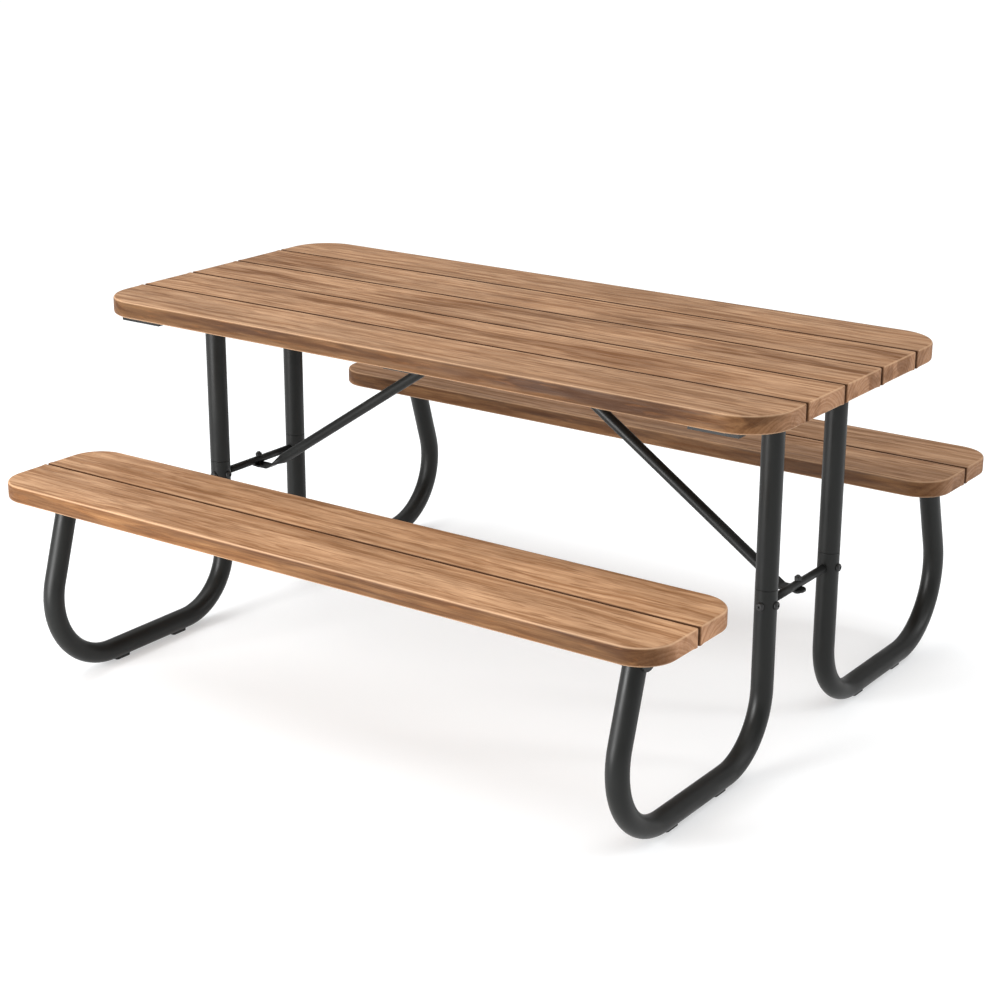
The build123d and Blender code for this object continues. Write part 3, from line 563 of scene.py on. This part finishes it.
# ---------------------------------------------------------------- node helpers
def feed(tree, sockets, given):
    """Gives each named socket its value: another socket is linked, a number or colour is set."""
    for key, value in given.items():
        if isinstance(value, bpy.types.NodeSocket):
            tree.links.new(value, sockets[key])
        else:
            sockets[key].default_value = value


def add_node(tree, kind, inputs=None, **settings):
    """A node with its settings and its inputs."""
    made = tree.nodes.new(kind)
    for key, value in settings.items():
        setattr(made, key, value)
    feed(tree, made.inputs, inputs or {})
    return made


def maths(tree, operation, *values):
    """Result of one Math node."""
    return add_node(tree, "ShaderNodeMath", dict(enumerate(values)), operation=operation).outputs[0]


def vector_maths(tree, operation, *values):
    """Vector result of one Vector Math node."""
    made = add_node(tree, "ShaderNodeVectorMath", dict(enumerate(values)), operation=operation)
    return made.outputs["Value" if operation == "LENGTH" else "Vector"]


def smooth_range(tree, value, low, high, to_low=0.0, to_high=1.0):
    """Value brought from low..high to a new range by a smooth step."""
    made = add_node(tree, "ShaderNodeMapRange", {"Value": value, "From Min": low, "From Max": high,
                                                 "To Min": to_low, "To Max": to_high},
                    interpolation_type="SMOOTHSTEP")
    return made.outputs["Result"]


def mix_colour(tree, factor, first, second, blend="MIX"):
    """Two colours blended by a factor."""
    made = add_node(tree, "ShaderNodeMix", {0: factor, 6: first, 7: second},
                    data_type="RGBA", blend_type=blend)
    return made.outputs[2]


def drawn_out_noise(tree, place, stretch, detail, distortion=0.0, kind="Fac"):
    """Noise whose cells are 1 / stretch long along each axis."""
    scaled = vector_maths(tree, "MULTIPLY", place, stretch)
    made = add_node(tree, "ShaderNodeTexNoise",
                    {"Vector": scaled, "Scale": 1.0, "Detail": detail, "Distortion": distortion})
    return made.outputs[kind]


def new_group(name, inputs, outputs):
    """A shader node group with named sockets; returns it with its input and output nodes."""
    group = bpy.data.node_groups.new(name, "ShaderNodeTree")
    for title, kind, default in inputs:
        socket = group.interface.new_socket(title, in_out="INPUT", socket_type=kind)
        if default is not None:
            socket.default_value = default
    for title, kind in outputs:
        group.interface.new_socket(title, in_out="OUTPUT", socket_type=kind)
    entry = group.nodes.new("NodeGroupInput")
    return group, entry.outputs, group.nodes.new("NodeGroupOutput").inputs


# ---------------------------------------------------------------- shared effects
def plank_grain():
    """Growth rings, heartwood, streaks, fibres and pores of a sawn board, as masks.

    The rings are noise of the distance from a pith that runs along X beneath the board and
    wanders, so that faces, edges and ends all cut the same rings.  Heartwood fills the log out
    to its own ragged radius.
    """
    if "plank_grain" in bpy.data.node_groups:
        return bpy.data.node_groups["plank_grain"]
    group, given, result = new_group("plank_grain", [
        ("Place", "NodeSocketVector", None), ("Pith", "NodeSocketVector", None),
        ("Ring Spacing", "NodeSocketFloat", 0.006), ("Wander", "NodeSocketFloat", 0.03),
        ("Heart Radius", "NodeSocketFloat", 0.05)],
        [(title, "NodeSocketFloat") for title in GRAIN_MASKS])
    place = vector_maths(group, "SUBTRACT", given["Place"], given["Pith"])
    stray = drawn_out_noise(group, place, (1.3, 5.0, 5.0), 2.0, kind="Color")
    stray = vector_maths(group, "SUBTRACT", stray, (0.5, 0.5, 0.5))
    stray = add_node(group, "ShaderNodeVectorMath", {0: stray, "Scale": given["Wander"]},
                     operation="SCALE").outputs["Vector"]
    ripple = drawn_out_noise(group, place, (11.0, 40.0, 40.0), 3.0, kind="Color")
    ripple = vector_maths(group, "SUBTRACT", ripple, (0.5, 0.5, 0.5))
    ripple = vector_maths(group, "MULTIPLY", ripple, (0.0, 0.008, 0.008))
    bent = vector_maths(group, "ADD", vector_maths(group, "ADD", place, stray), ripple)
    distance = vector_maths(group, "LENGTH", vector_maths(group, "MULTIPLY", bent, (0.0, 1.0, 1.0)))
    count = maths(group, "DIVIDE", distance, given["Ring Spacing"])
    rings = add_node(group, "ShaderNodeTexNoise", {"W": count, "Scale": 1.0, "Detail": 2.5,
                                                   "Roughness": 0.6}, noise_dimensions="1D")
    rings = smooth_range(group, rings.outputs["Fac"], 0.40, 0.62)
    streaks = drawn_out_noise(group, bent, (2.2, 20.0, 20.0), 6.0, 0.5)
    ragged = smooth_range(group, streaks, 0.3, 0.7, -0.022, 0.022)
    edge = maths(group, "SUBTRACT", maths(group, "ADD", given["Heart Radius"], ragged), distance)
    heart = smooth_range(group, edge, -0.014, 0.014)
    patches = drawn_out_noise(group, bent, (3.4, 18.0, 30.0), 4.0, 0.5)
    fibres = drawn_out_noise(group, bent, (6.0, 95.0, 95.0), 8.0, 0.2)
    strands = drawn_out_noise(group, place, (16.0, 300.0, 300.0), 4.0)
    pores = drawn_out_noise(group, bent, (16.0, 190.0, 190.0), 3.0)
    clouds = drawn_out_noise(group, place, (3.0, 9.0, 9.0), 2.0)
    feed(group, result, {
        "Rings": rings, "Heart": heart, "Streaks": smooth_range(group, streaks, 0.42, 0.62),
        "Patches": patches, "Fibres": smooth_range(group, fibres, 0.38, 0.62),
        "Strands": smooth_range(group, strands, 0.36, 0.64),
        "Pores": smooth_range(group, pores, 0.55, 0.68),
        "Clouds": smooth_range(group, clouds, 0.3, 0.7)})
    return group


def plank_tint():
    """Colour, roughness and relief of a stained board from its grain masks.

    Rings and fibres blend the pale and tan wood, heartwood and streaks smoke it, painted shade
    darkens the long side faces, more at one end than the other, dark patches gather near the
    upper side of the edges, pores and strands darken it finely, a painted highlight turns the
    rounded rims pale and painted shade turns the walls of the gaps deep brown.
    """
    if "plank_tint" in bpy.data.node_groups:
        return bpy.data.node_groups["plank_tint"]
    masks = [(title, "NodeSocketFloat", 0.0) for title in (*GRAIN_MASKS, *SURFACE_MASKS)]
    colours = [(title, "NodeSocketColor", None) for title in ("Pale", "Tan", "Heart Color", "Deep")]
    numbers = [("Streak Strength", "NodeSocketFloat", 0.7), ("Tone", "NodeSocketFloat", 1.0),
               ("Edge Shade", "NodeSocketFloat", 1.0), ("Patch Strength", "NodeSocketFloat", 0.7),
               ("Roughness", "NodeSocketFloat", 0.5)]
    group, given, result = new_group("plank_tint", masks + colours + numbers,
                                     [("Color", "NodeSocketColor"),
                                      ("Roughness", "NodeSocketFloat"),
                                      ("Relief", "NodeSocketFloat")])

    def times(first, second):
        return maths(group, "MULTIPLY", first, second)

    def share(title, strength):
        return times(given[title], strength)

    def tinted(colour, by):
        return mix_colour(group, 1.0, colour, by, "MULTIPLY")

    lengthwise = maths(group, "SUBTRACT", 1.0, share("End Grain", 0.85))
    fibres = times(given["Fibres"], lengthwise)
    blend = maths(group, "ADD", share("Rings", 0.48), times(fibres, 0.46))
    colour = mix_colour(group, blend, given["Pale"], given["Tan"])
    core = times(given["Heart"], smooth_range(group, given["Streaks"], 0.0, 1.0, 0.15, 1.0))
    core = times(core, smooth_range(group, fibres, 0.0, 1.0, 0.60, 1.0))
    loose = share("Streaks", 0.40)
    smoke = maths(group, "MAXIMUM", core, loose)
    smoke = times(smoke, given["Streak Strength"])
    colour = mix_colour(group, smoke, colour, given["Heart Color"])
    # Painted shade: the long side faces are made darker and warmer than the tops, standing in for the
    # lesser light that falls on them.
    side_shade = mix_colour(group, given["Side Grain"], WHITE, (0.84, 0.70, 0.50, 1))
    colour = tinted(colour, side_shade)
    # Painted shade on the long side faces, set per board and changing from the left end to the right
    # end.
    edge = mix_colour(group, given["Side Grain"], WHITE, given["Edge Shade"])
    colour = tinted(colour, edge)
    gathered = maths(group, "ADD", given["Patches"], share("Upper Side", 0.13))
    deep = times(smooth_range(group, gathered, 0.53, 0.68), given["Side Grain"])
    colour = mix_colour(group, times(deep, given["Patch Strength"]), colour, given["Deep"])
    ends = mix_colour(group, given["End Grain"], WHITE, (0.86, 0.80, 0.80, 1))
    colour = tinted(colour, ends)
    pored = times(share("Pores", 0.50), lengthwise)
    colour = mix_colour(group, pored, colour, given["Heart Color"])
    fine = times(share("Strands", 0.36), lengthwise)
    fine = mix_colour(group, fine, WHITE, (0.42, 0.34, 0.28, 1))
    colour = tinted(colour, fine)
    # Painted highlight: the rounded rim turns pale along a thin line.
    painted_highlight = tinted(given["Pale"], (1.22, 1.32, 1.45, 1))
    colour = mix_colour(group, share("Arris Highlight", 0.60), colour, painted_highlight)
    # Painted shade: the walls inside the gaps are turned deep brown.
    colour = mix_colour(group, share("Gap Wall Shade", 0.95), colour, given["Deep"])
    tone = times(given["Tone"], smooth_range(group, given["Clouds"], 0.0, 1.0, 0.92, 1.08))
    toned = add_node(group, "ShaderNodeVectorMath", {0: colour, "Scale": tone}, operation="SCALE")
    shine = smooth_range(group, given["Fibres"], 0.0, 1.0, -0.06, 0.08)
    shine = maths(group, "ADD", given["Roughness"], shine)
    shine = maths(group, "ADD", shine, share("End Grain", 0.12))
    relief = maths(group, "ADD", share("Fibres", 0.40), share("Rings", 0.25))
    relief = maths(group, "ADD", relief, share("Pores", 0.7))
    relief = maths(group, "ADD", relief, share("Strands", 0.35))
    feed(group, result, {"Color": toned.outputs["Vector"], "Roughness": shine,
                         "Relief": maths(group, "SUBTRACT", 1.0, relief)})
    return group


def fine_skin():
    """Fine orange-peel relief and faint mottling of a sprayed or moulded surface."""
    if "fine_skin" in bpy.data.node_groups:
        return bpy.data.node_groups["fine_skin"]
    group, given, result = new_group("fine_skin", [
        ("Place", "NodeSocketVector", None), ("Bead Size", "NodeSocketFloat", 0.001)],
        [("Relief", "NodeSocketFloat"), ("Mottle", "NodeSocketFloat")])
    fine = maths(group, "DIVIDE", 1.0, given["Bead Size"])
    beads = add_node(group, "ShaderNodeTexNoise", {"Vector": given["Place"], "Scale": fine,
                                                   "Detail": 1.0}).outputs["Fac"]
    broad = add_node(group, "ShaderNodeTexNoise", {"Vector": given["Place"], "Scale": 14.0,
                                                   "Detail": 3.0}).outputs["Fac"]
    feed(group, result, {"Relief": beads, "Mottle": smooth_range(group, broad, 0.3, 0.7)})
    return group


# ---------------------------------------------------------------- materials
def new_material(name):
    """An empty node material with its tree and shader."""
    material = bpy.data.materials.new(name)
    material.use_nodes = True
    tree = material.node_tree
    tree.nodes.clear()
    shader = tree.nodes.new("ShaderNodeBsdfPrincipled")
    output = tree.nodes.new("ShaderNodeOutputMaterial")
    tree.links.new(shader.outputs["BSDF"], output.inputs["Surface"])
    return material, tree, shader


def with_alpha(colour):
    """A sidebar colour as the four numbers that a colour socket takes."""
    return (*colour, 1.0)


def stained_wood(node, board):
    """Oiled hardwood of one board, with its pith set from the middle of its frame place."""
    finish = bpy.context.scene.picnic_timber
    material, tree, shader = new_material(f"timber_{node}")
    place = add_node(tree, "ShaderNodeTexCoord").outputs["Object"]
    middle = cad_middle(node)
    pith = (board["along"], middle.y + board["across"], middle.z - board["below"])
    grain = add_node(tree, "ShaderNodeGroup", {
        "Place": place, "Pith": pith, "Ring Spacing": finish.ring_spacing * board["rings"],
        "Wander": finish.wander, "Heart Radius": board["heart"]}, node_tree=plank_grain())
    tint = add_node(tree, "ShaderNodeGroup", {
        "Pale": with_alpha(finish.pale), "Tan": with_alpha(finish.tan),
        "Heart Color": with_alpha(finish.heart), "Deep": with_alpha(finish.deep),
        "Streak Strength": board["smoke"], "Tone": board["tone"],
        "Patch Strength": board["patch"], "Roughness": finish.roughness},
        node_tree=plank_tint())
    feed(tree, tint.inputs, {title: grain.outputs[title] for title in GRAIN_MASKS})
    feed(tree, tint.inputs, {
        title: add_node(tree, "ShaderNodeAttribute", attribute_name=layer).outputs["Fac"]
        for title, layer in SURFACE_MASKS.items()})
    along = add_node(tree, "ShaderNodeSeparateXYZ", {0: place}).outputs["X"]
    low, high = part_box(node)
    # Painted shade: the long side faces are darkened by a factor that runs from the board's left end
    # to its right end, painting the fall-off of the light along them.
    edge_shade = smooth_range(tree, along, low.x, high.x, *board["edge"])
    feed(tree, tint.inputs, {"Edge Shade": edge_shade})
    bump = add_node(tree, "ShaderNodeBump", {"Height": tint.outputs["Relief"], "Strength": 0.6,
                                             "Distance": finish.relief})
    feed(tree, shader.inputs, {
        "Base Color": tint.outputs["Color"], "Roughness": tint.outputs["Roughness"],
        "Normal": bump.outputs["Normal"], "Specular IOR Level": 0.14})
    return material


def skinned_material(name, colour, roughness, bead, depth, metallic=0.0, specular=0.5, spread=0.05):
    """A finish with a fine skin: colour and roughness vary a little, the relief is fine."""
    if name in bpy.data.materials:
        return bpy.data.materials[name]
    material, tree, shader = new_material(name)
    place = add_node(tree, "ShaderNodeTexCoord").outputs["Object"]
    skin = add_node(tree, "ShaderNodeGroup", {"Place": place, "Bead Size": bead},
                    node_tree=fine_skin())
    lighter = tuple(min(1.0, part * 1.25) for part in colour)
    shade = mix_colour(tree, skin.outputs["Mottle"], with_alpha(colour), with_alpha(lighter))
    rough = smooth_range(tree, skin.outputs["Mottle"], 0.0, 1.0, roughness - spread,
                         roughness + spread)
    bump = add_node(tree, "ShaderNodeBump", {"Height": skin.outputs["Relief"], "Strength": 0.5,
                                             "Distance": depth})
    feed(tree, shader.inputs, {"Base Color": shade, "Roughness": rough, "Metallic": metallic,
                               "Normal": bump.outputs["Normal"], "Specular IOR Level": specular})
    return material


def charcoal_coat():
    """Satin charcoal powder coat."""
    finish = bpy.context.scene.picnic_metal
    return skinned_material("charcoal_powder_coat", finish.coat, finish.coat_roughness,
                            0.0011, 0.00006, specular=0.24)


def black_fastener():
    """Black coated bolts, nuts and screws."""
    finish = bpy.context.scene.picnic_metal
    return skinned_material("black_fastener", finish.fastener, 0.36, 0.0007, 0.00003, specular=0.25)


def black_plastic():
    """Matt moulded plastic."""
    finish = bpy.context.scene.picnic_metal
    return skinned_material("black_plastic", finish.plastic, 0.55, 0.0009, 0.00005)


def zinc_plate():
    """Plated threaded inserts."""
    finish = bpy.context.scene.picnic_metal
    return skinned_material("zinc_plate", finish.zinc, 0.35, 0.0008, 0.00002, metallic=1.0)


def finish_nodes(names, material):
    """Gives frame pieces their material in every slot."""
    for name in names:
        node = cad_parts[name]
        if not node.material_slots:
            node.data.materials.append(material)
        for slot in node.material_slots:
            slot.material = material


def nodes_named(*beginnings):
    """Names of the frame pieces that start with any of the given words."""
    return [name for name in sorted(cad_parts) if name.startswith(beginnings)]


# ---------------------------------------------------------------- operators
def board(along, across, below, heart, smoke, tone, rings=1.0, edge=(0.33, 0.53), patch=0.75):
    """One board's place in its log and its look.

    along shifts the figure; across and below place the pith from the board's middle; heart is
    the heartwood's radius about it; smoke is the strength of the streaks; tone scales the
    colour; rings scales the growth rings; edge is the painted shade on the long edges, the
    factors that darken them at their left and right ends, unequal to paint the fall-off of
    the light along them; patch is the strength of their dark patches.
    """
    return dict(along=along, across=across, below=below, heart=heart, smoke=smoke, tone=tone,
                rings=rings, edge=edge, patch=patch)


# The edge pairs, given here and by default, are painted shade on the long edges, darker at one end to
# paint the fall-off of the light.
TABLE_BOARDS = [board(0.9, 0.012, 0.060, 0.056, 0.80, 0.96),
                board(3.7, -0.010, 0.045, 0.066, 1.00, 0.99, 1.1),
                board(7.1, 0.016, 0.050, 0.068, 1.00, 0.98, 0.9),
                board(11.3, -0.006, 0.040, 0.064, 1.00, 0.98),
                board(15.9, 0.030, 0.070, 0.068, 0.85, 0.94, 1.1)]
# Bench boards: the front ones are toned lighter; the rear ones are toned darker as painted shade from
# the tabletop above them.
BENCH_BOARDS = {
    "front_bench_inner_plank": board(19.4, 0.020, 0.080, 0.060, 0.60, 1.16, 1.2, (0.62, 0.42), 0.4),
    "front_bench_outer_plank": board(23.8, -0.020, 0.090, 0.080, 0.70, 1.13, 1.3, (0.62, 0.42), 0.5),
    "rear_bench_inner_plank": board(28.2, 0.015, 0.070, 0.070, 0.80, 0.76, 1.1, (0.66, 0.58), 0.6),
    "rear_bench_outer_plank": board(33.1, -0.025, 0.080, 0.065, 0.75, 0.76, 1.2, (0.66, 0.58), 0.6)}


class PICNIC_OT_tabletop_planks(bpy.types.Operator):
    """Build the five tabletop planks"""

    bl_idname = "picnic.tabletop_planks"
    bl_label = "Tabletop planks"

    def execute(self, context):
        corner = context.scene.picnic_planks.table_corner
        for index, (name, board) in enumerate(zip(TABLE_PLANKS, TABLE_BOARDS)):
            build_plank(name, corner, index == 0, index == len(TABLE_PLANKS) - 1,
                        stained_wood(name, board))
        return {"FINISHED"}


class PICNIC_OT_bench_planks(bpy.types.Operator):
    """Build the four bench planks"""

    bl_idname = "picnic.bench_planks"
    bl_label = "Bench planks"

    def execute(self, context):
        corner = context.scene.picnic_planks.bench_corner
        for name, board in BENCH_BOARDS.items():
            row, place = name.split("_bench_")
            outer = place.startswith("outer")
            faces_low = (ROWS[row] < 0) == outer
            build_plank(name, corner, faces_low, not faces_low, stained_wood(name, board))
        return {"FINISHED"}


class PICNIC_OT_leg_hoops(bpy.types.Operator):
    """Build the four bent leg hoops"""

    bl_idname = "picnic.leg_hoops"
    bl_label = "Leg hoops"

    def execute(self, context):
        for row_name, side_name in product(ROWS, SIDES):
            build_leg_hoop(row_name, side_name)
        return {"FINISHED"}


class PICNIC_OT_posts(bpy.types.Operator):
    """Build the four posts"""

    bl_idname = "picnic.posts"
    bl_label = "Posts"

    def execute(self, context):
        for row_name, side_name in product(ROWS, SIDES):
            build_post(row_name, side_name)
        return {"FINISHED"}


class PICNIC_OT_crossbars_and_braces(bpy.types.Operator):
    """Build the two crossbars and the two braces"""

    bl_idname = "picnic.crossbars_and_braces"
    bl_label = "Crossbars and braces"

    def execute(self, context):
        for side_name in SIDES:
            build_crossbar(side_name)
            build_brace(side_name)
        return {"FINISHED"}


class PICNIC_OT_plates(bpy.types.Operator):
    """Coat the rails, brackets and cleats"""

    bl_idname = "picnic.plates"
    bl_label = "Rails, brackets and cleats"

    def execute(self, context):
        names = nodes_named("tabletop_rail", "post_bracket", "seat_bracket", "front_bench_cleat",
                            "rear_bench_cleat")
        plates = [name for name in names if not name.endswith(FASTENER_ENDINGS)]
        finish_nodes(plates, charcoal_coat())
        return {"FINISHED"}


class PICNIC_OT_fasteners(bpy.types.Operator):
    """Finish the bolts, nuts, screws and inserts"""

    bl_idname = "picnic.fasteners"
    bl_label = "Fasteners"

    def execute(self, context):
        for endings, finish in ((FASTENER_ENDINGS, black_fastener()), ("_inserts", zinc_plate())):
            finish_nodes([name for name in sorted(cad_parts) if name.endswith(endings)], finish)
        return {"FINISHED"}


class PICNIC_OT_floor_glides(bpy.types.Operator):
    """Finish the plastic floor glides"""

    bl_idname = "picnic.floor_glides"
    bl_label = "Floor glides"

    def execute(self, context):
        finish_nodes(nodes_named("floor_glides"), black_plastic())
        return {"FINISHED"}


class PICNIC_OT_stage(bpy.types.Operator):
    """Lay the floor, hang the lights and set the camera"""

    bl_idname = "picnic.stage"
    bl_label = "Studio stage"

    def execute(self, context):
        setup = context.scene.picnic_studio
        lay_floor(setup)
        hang_lights(setup)
        set_camera(setup)
        return {"FINISHED"}


# ---------------------------------------------------------------- stage
def lay_floor(setup):
    """A wide pale disc at ground level, seen only from above."""
    turn = np.linspace(0, 2 * math.pi, 97)[:-1]
    rim = np.column_stack([FLOOR_REACH * np.cos(turn), FLOOR_REACH * np.sin(turn),
                           np.zeros(len(turn))])
    mesh = bpy.data.meshes.new("studio_floor")
    mesh.from_pydata(rim.tolist(), [], [list(range(len(turn)))])
    material, tree, shader = new_material("studio_floor")
    feed(tree, shader.inputs, {
        "Base Color": with_alpha(setup.floor), "Roughness": 0.8, "Emission Color": WHITE,
        "Emission Strength": setup.glow, "Specular IOR Level": 0.2})
    clear = tree.nodes.new("ShaderNodeBsdfTransparent")
    below = tree.nodes.new("ShaderNodeNewGeometry").outputs["Backfacing"]
    mixed = add_node(tree, "ShaderNodeMixShader", {0: below, 1: shader.outputs["BSDF"],
                                                   2: clear.outputs["BSDF"]})
    tree.links.new(mixed.outputs["Shader"],
                   next(n for n in tree.nodes if n.type == "OUTPUT_MATERIAL").inputs["Surface"])
    mesh.materials.append(material)
    floor = bpy.data.objects.new("studio_floor", mesh)
    bpy.context.scene.collection.objects.link(floor)


def hang_lights(setup):
    """Sky light that grows with height, a low key on the left, a wide light overhead and a
    little to the left, and a tall narrow one on the right."""
    world = bpy.data.worlds.new("studio")
    world.use_nodes = True
    tree = world.node_tree
    upward = add_node(tree, "ShaderNodeSeparateXYZ",
                      {0: add_node(tree, "ShaderNodeTexCoord").outputs["Generated"]}).outputs["Z"]
    steep = maths(tree, "MULTIPLY", upward, upward)
    strength = add_node(tree, "ShaderNodeMapRange",
                        {"Value": steep, "To Min": setup.horizon, "To Max": setup.sky})
    feed(tree, tree.nodes["Background"].inputs,
         {"Strength": strength.outputs["Result"], "Color": WHITE})
    bpy.context.scene.world = world
    low, high = FRAME_BOX
    middle = (low + high) / 2
    right = Vector((math.cos(setup.azimuth), math.sin(setup.azimuth), 0.0))
    back = Vector((math.sin(setup.azimuth), -math.cos(setup.azimuth), 0.0))
    # power, width and height of each light, then how far right, towards the camera and up it is
    rig = (("key_light", setup.key, (1.3, 1.6), (-2.9, 2.1, 0.50)),
           ("overhead_light", setup.overhead, (3.6, 2.6), (-1.2, -0.6, 3.4)),
           ("kicker_light", setup.kicker, (0.6, 2.6), (3.6, 0.8, 1.4)))
    for name, power, size, (rightward, nearer, raised) in rig:
        offset = right * rightward + back * nearer + Vector((0, 0, raised))
        lamp = bpy.data.lights.new(name, "AREA")
        lamp.shape = "RECTANGLE"
        lamp.size, lamp.size_y = size
        lamp.energy = power
        light = bpy.data.objects.new(name, lamp)
        light.location = middle + offset
        light.rotation_euler = (-offset).to_track_quat("-Z", "Y").to_euler()
        bpy.context.scene.collection.objects.link(light)


def set_camera(setup):
    """The camera, turned by azimuth and elevation about the upright and then by its roll."""
    azimuth, elevation = setup.azimuth, setup.elevation
    back = Vector((math.sin(azimuth) * math.cos(elevation),
                   -math.cos(azimuth) * math.cos(elevation), math.sin(elevation)))
    right = (-back).cross(Vector((0, 0, 1))).normalized()
    up = back.cross(right)
    across = right * math.cos(setup.roll) + up * math.sin(setup.roll)
    upward = up * math.cos(setup.roll) - right * math.sin(setup.roll)
    lens = bpy.data.cameras.new("studio_camera")
    lens.lens, lens.sensor_width = setup.lens, SENSOR_WIDTH
    lens.clip_end = 200.0
    camera = bpy.data.objects.new("studio_camera", lens)
    turned = Matrix((across, upward, back)).transposed().to_4x4()
    camera.matrix_world = Matrix.Translation(setup.place) @ turned
    bpy.context.scene.collection.objects.link(camera)
    bpy.context.scene.camera = camera
    bpy.context.scene.view_settings.view_transform = "Standard"


# ---------------------------------------------------------------- panel and registration
OPERATORS = (PICNIC_OT_tabletop_planks, PICNIC_OT_bench_planks, PICNIC_OT_leg_hoops,
             PICNIC_OT_posts, PICNIC_OT_crossbars_and_braces, PICNIC_OT_plates,
             PICNIC_OT_fasteners, PICNIC_OT_floor_glides, PICNIC_OT_stage)
SETTINGS = {"picnic_planks": PlankShape, "picnic_tubes": TubeShape,
            "picnic_timber": TimberFinish, "picnic_metal": MetalFinish,
            "picnic_studio": StudioSetup}


class PICNIC_PT_sidebar(bpy.types.Panel):
    """Sizes, colours and build steps of the picnic table"""

    bl_idname = "PICNIC_PT_sidebar"
    bl_label = "Picnic Table"
    bl_space_type = "VIEW_3D"
    bl_region_type = "UI"
    bl_category = "Picnic Table"

    def draw(self, context):
        for operator in OPERATORS:
            self.layout.operator(operator.bl_idname)
        for name, kind in SETTINGS.items():
            box = self.layout.box()
            for key in kind.__annotations__:
                box.prop(getattr(context.scene, name), key)


def register():
    """Registers the settings, operators and panel."""
    for kind in (*SETTINGS.values(), *OPERATORS, PICNIC_PT_sidebar):
        bpy.utils.register_class(kind)
    for name, kind in SETTINGS.items():
        setattr(bpy.types.Scene, name, PointerProperty(type=kind))


def unregister():
    """Removes what register() added."""
    for name in SETTINGS:
        delattr(bpy.types.Scene, name)
    for kind in (PICNIC_PT_sidebar, *OPERATORS[::-1], *list(SETTINGS.values())[::-1]):
        bpy.utils.unregister_class(kind)


def main():
    """Builds everything in order."""
    register()
    for operator in OPERATORS:
        group, action = operator.bl_idname.split(".")
        getattr(getattr(bpy.ops, group), action)()


if __name__ == "__main__":
    main()
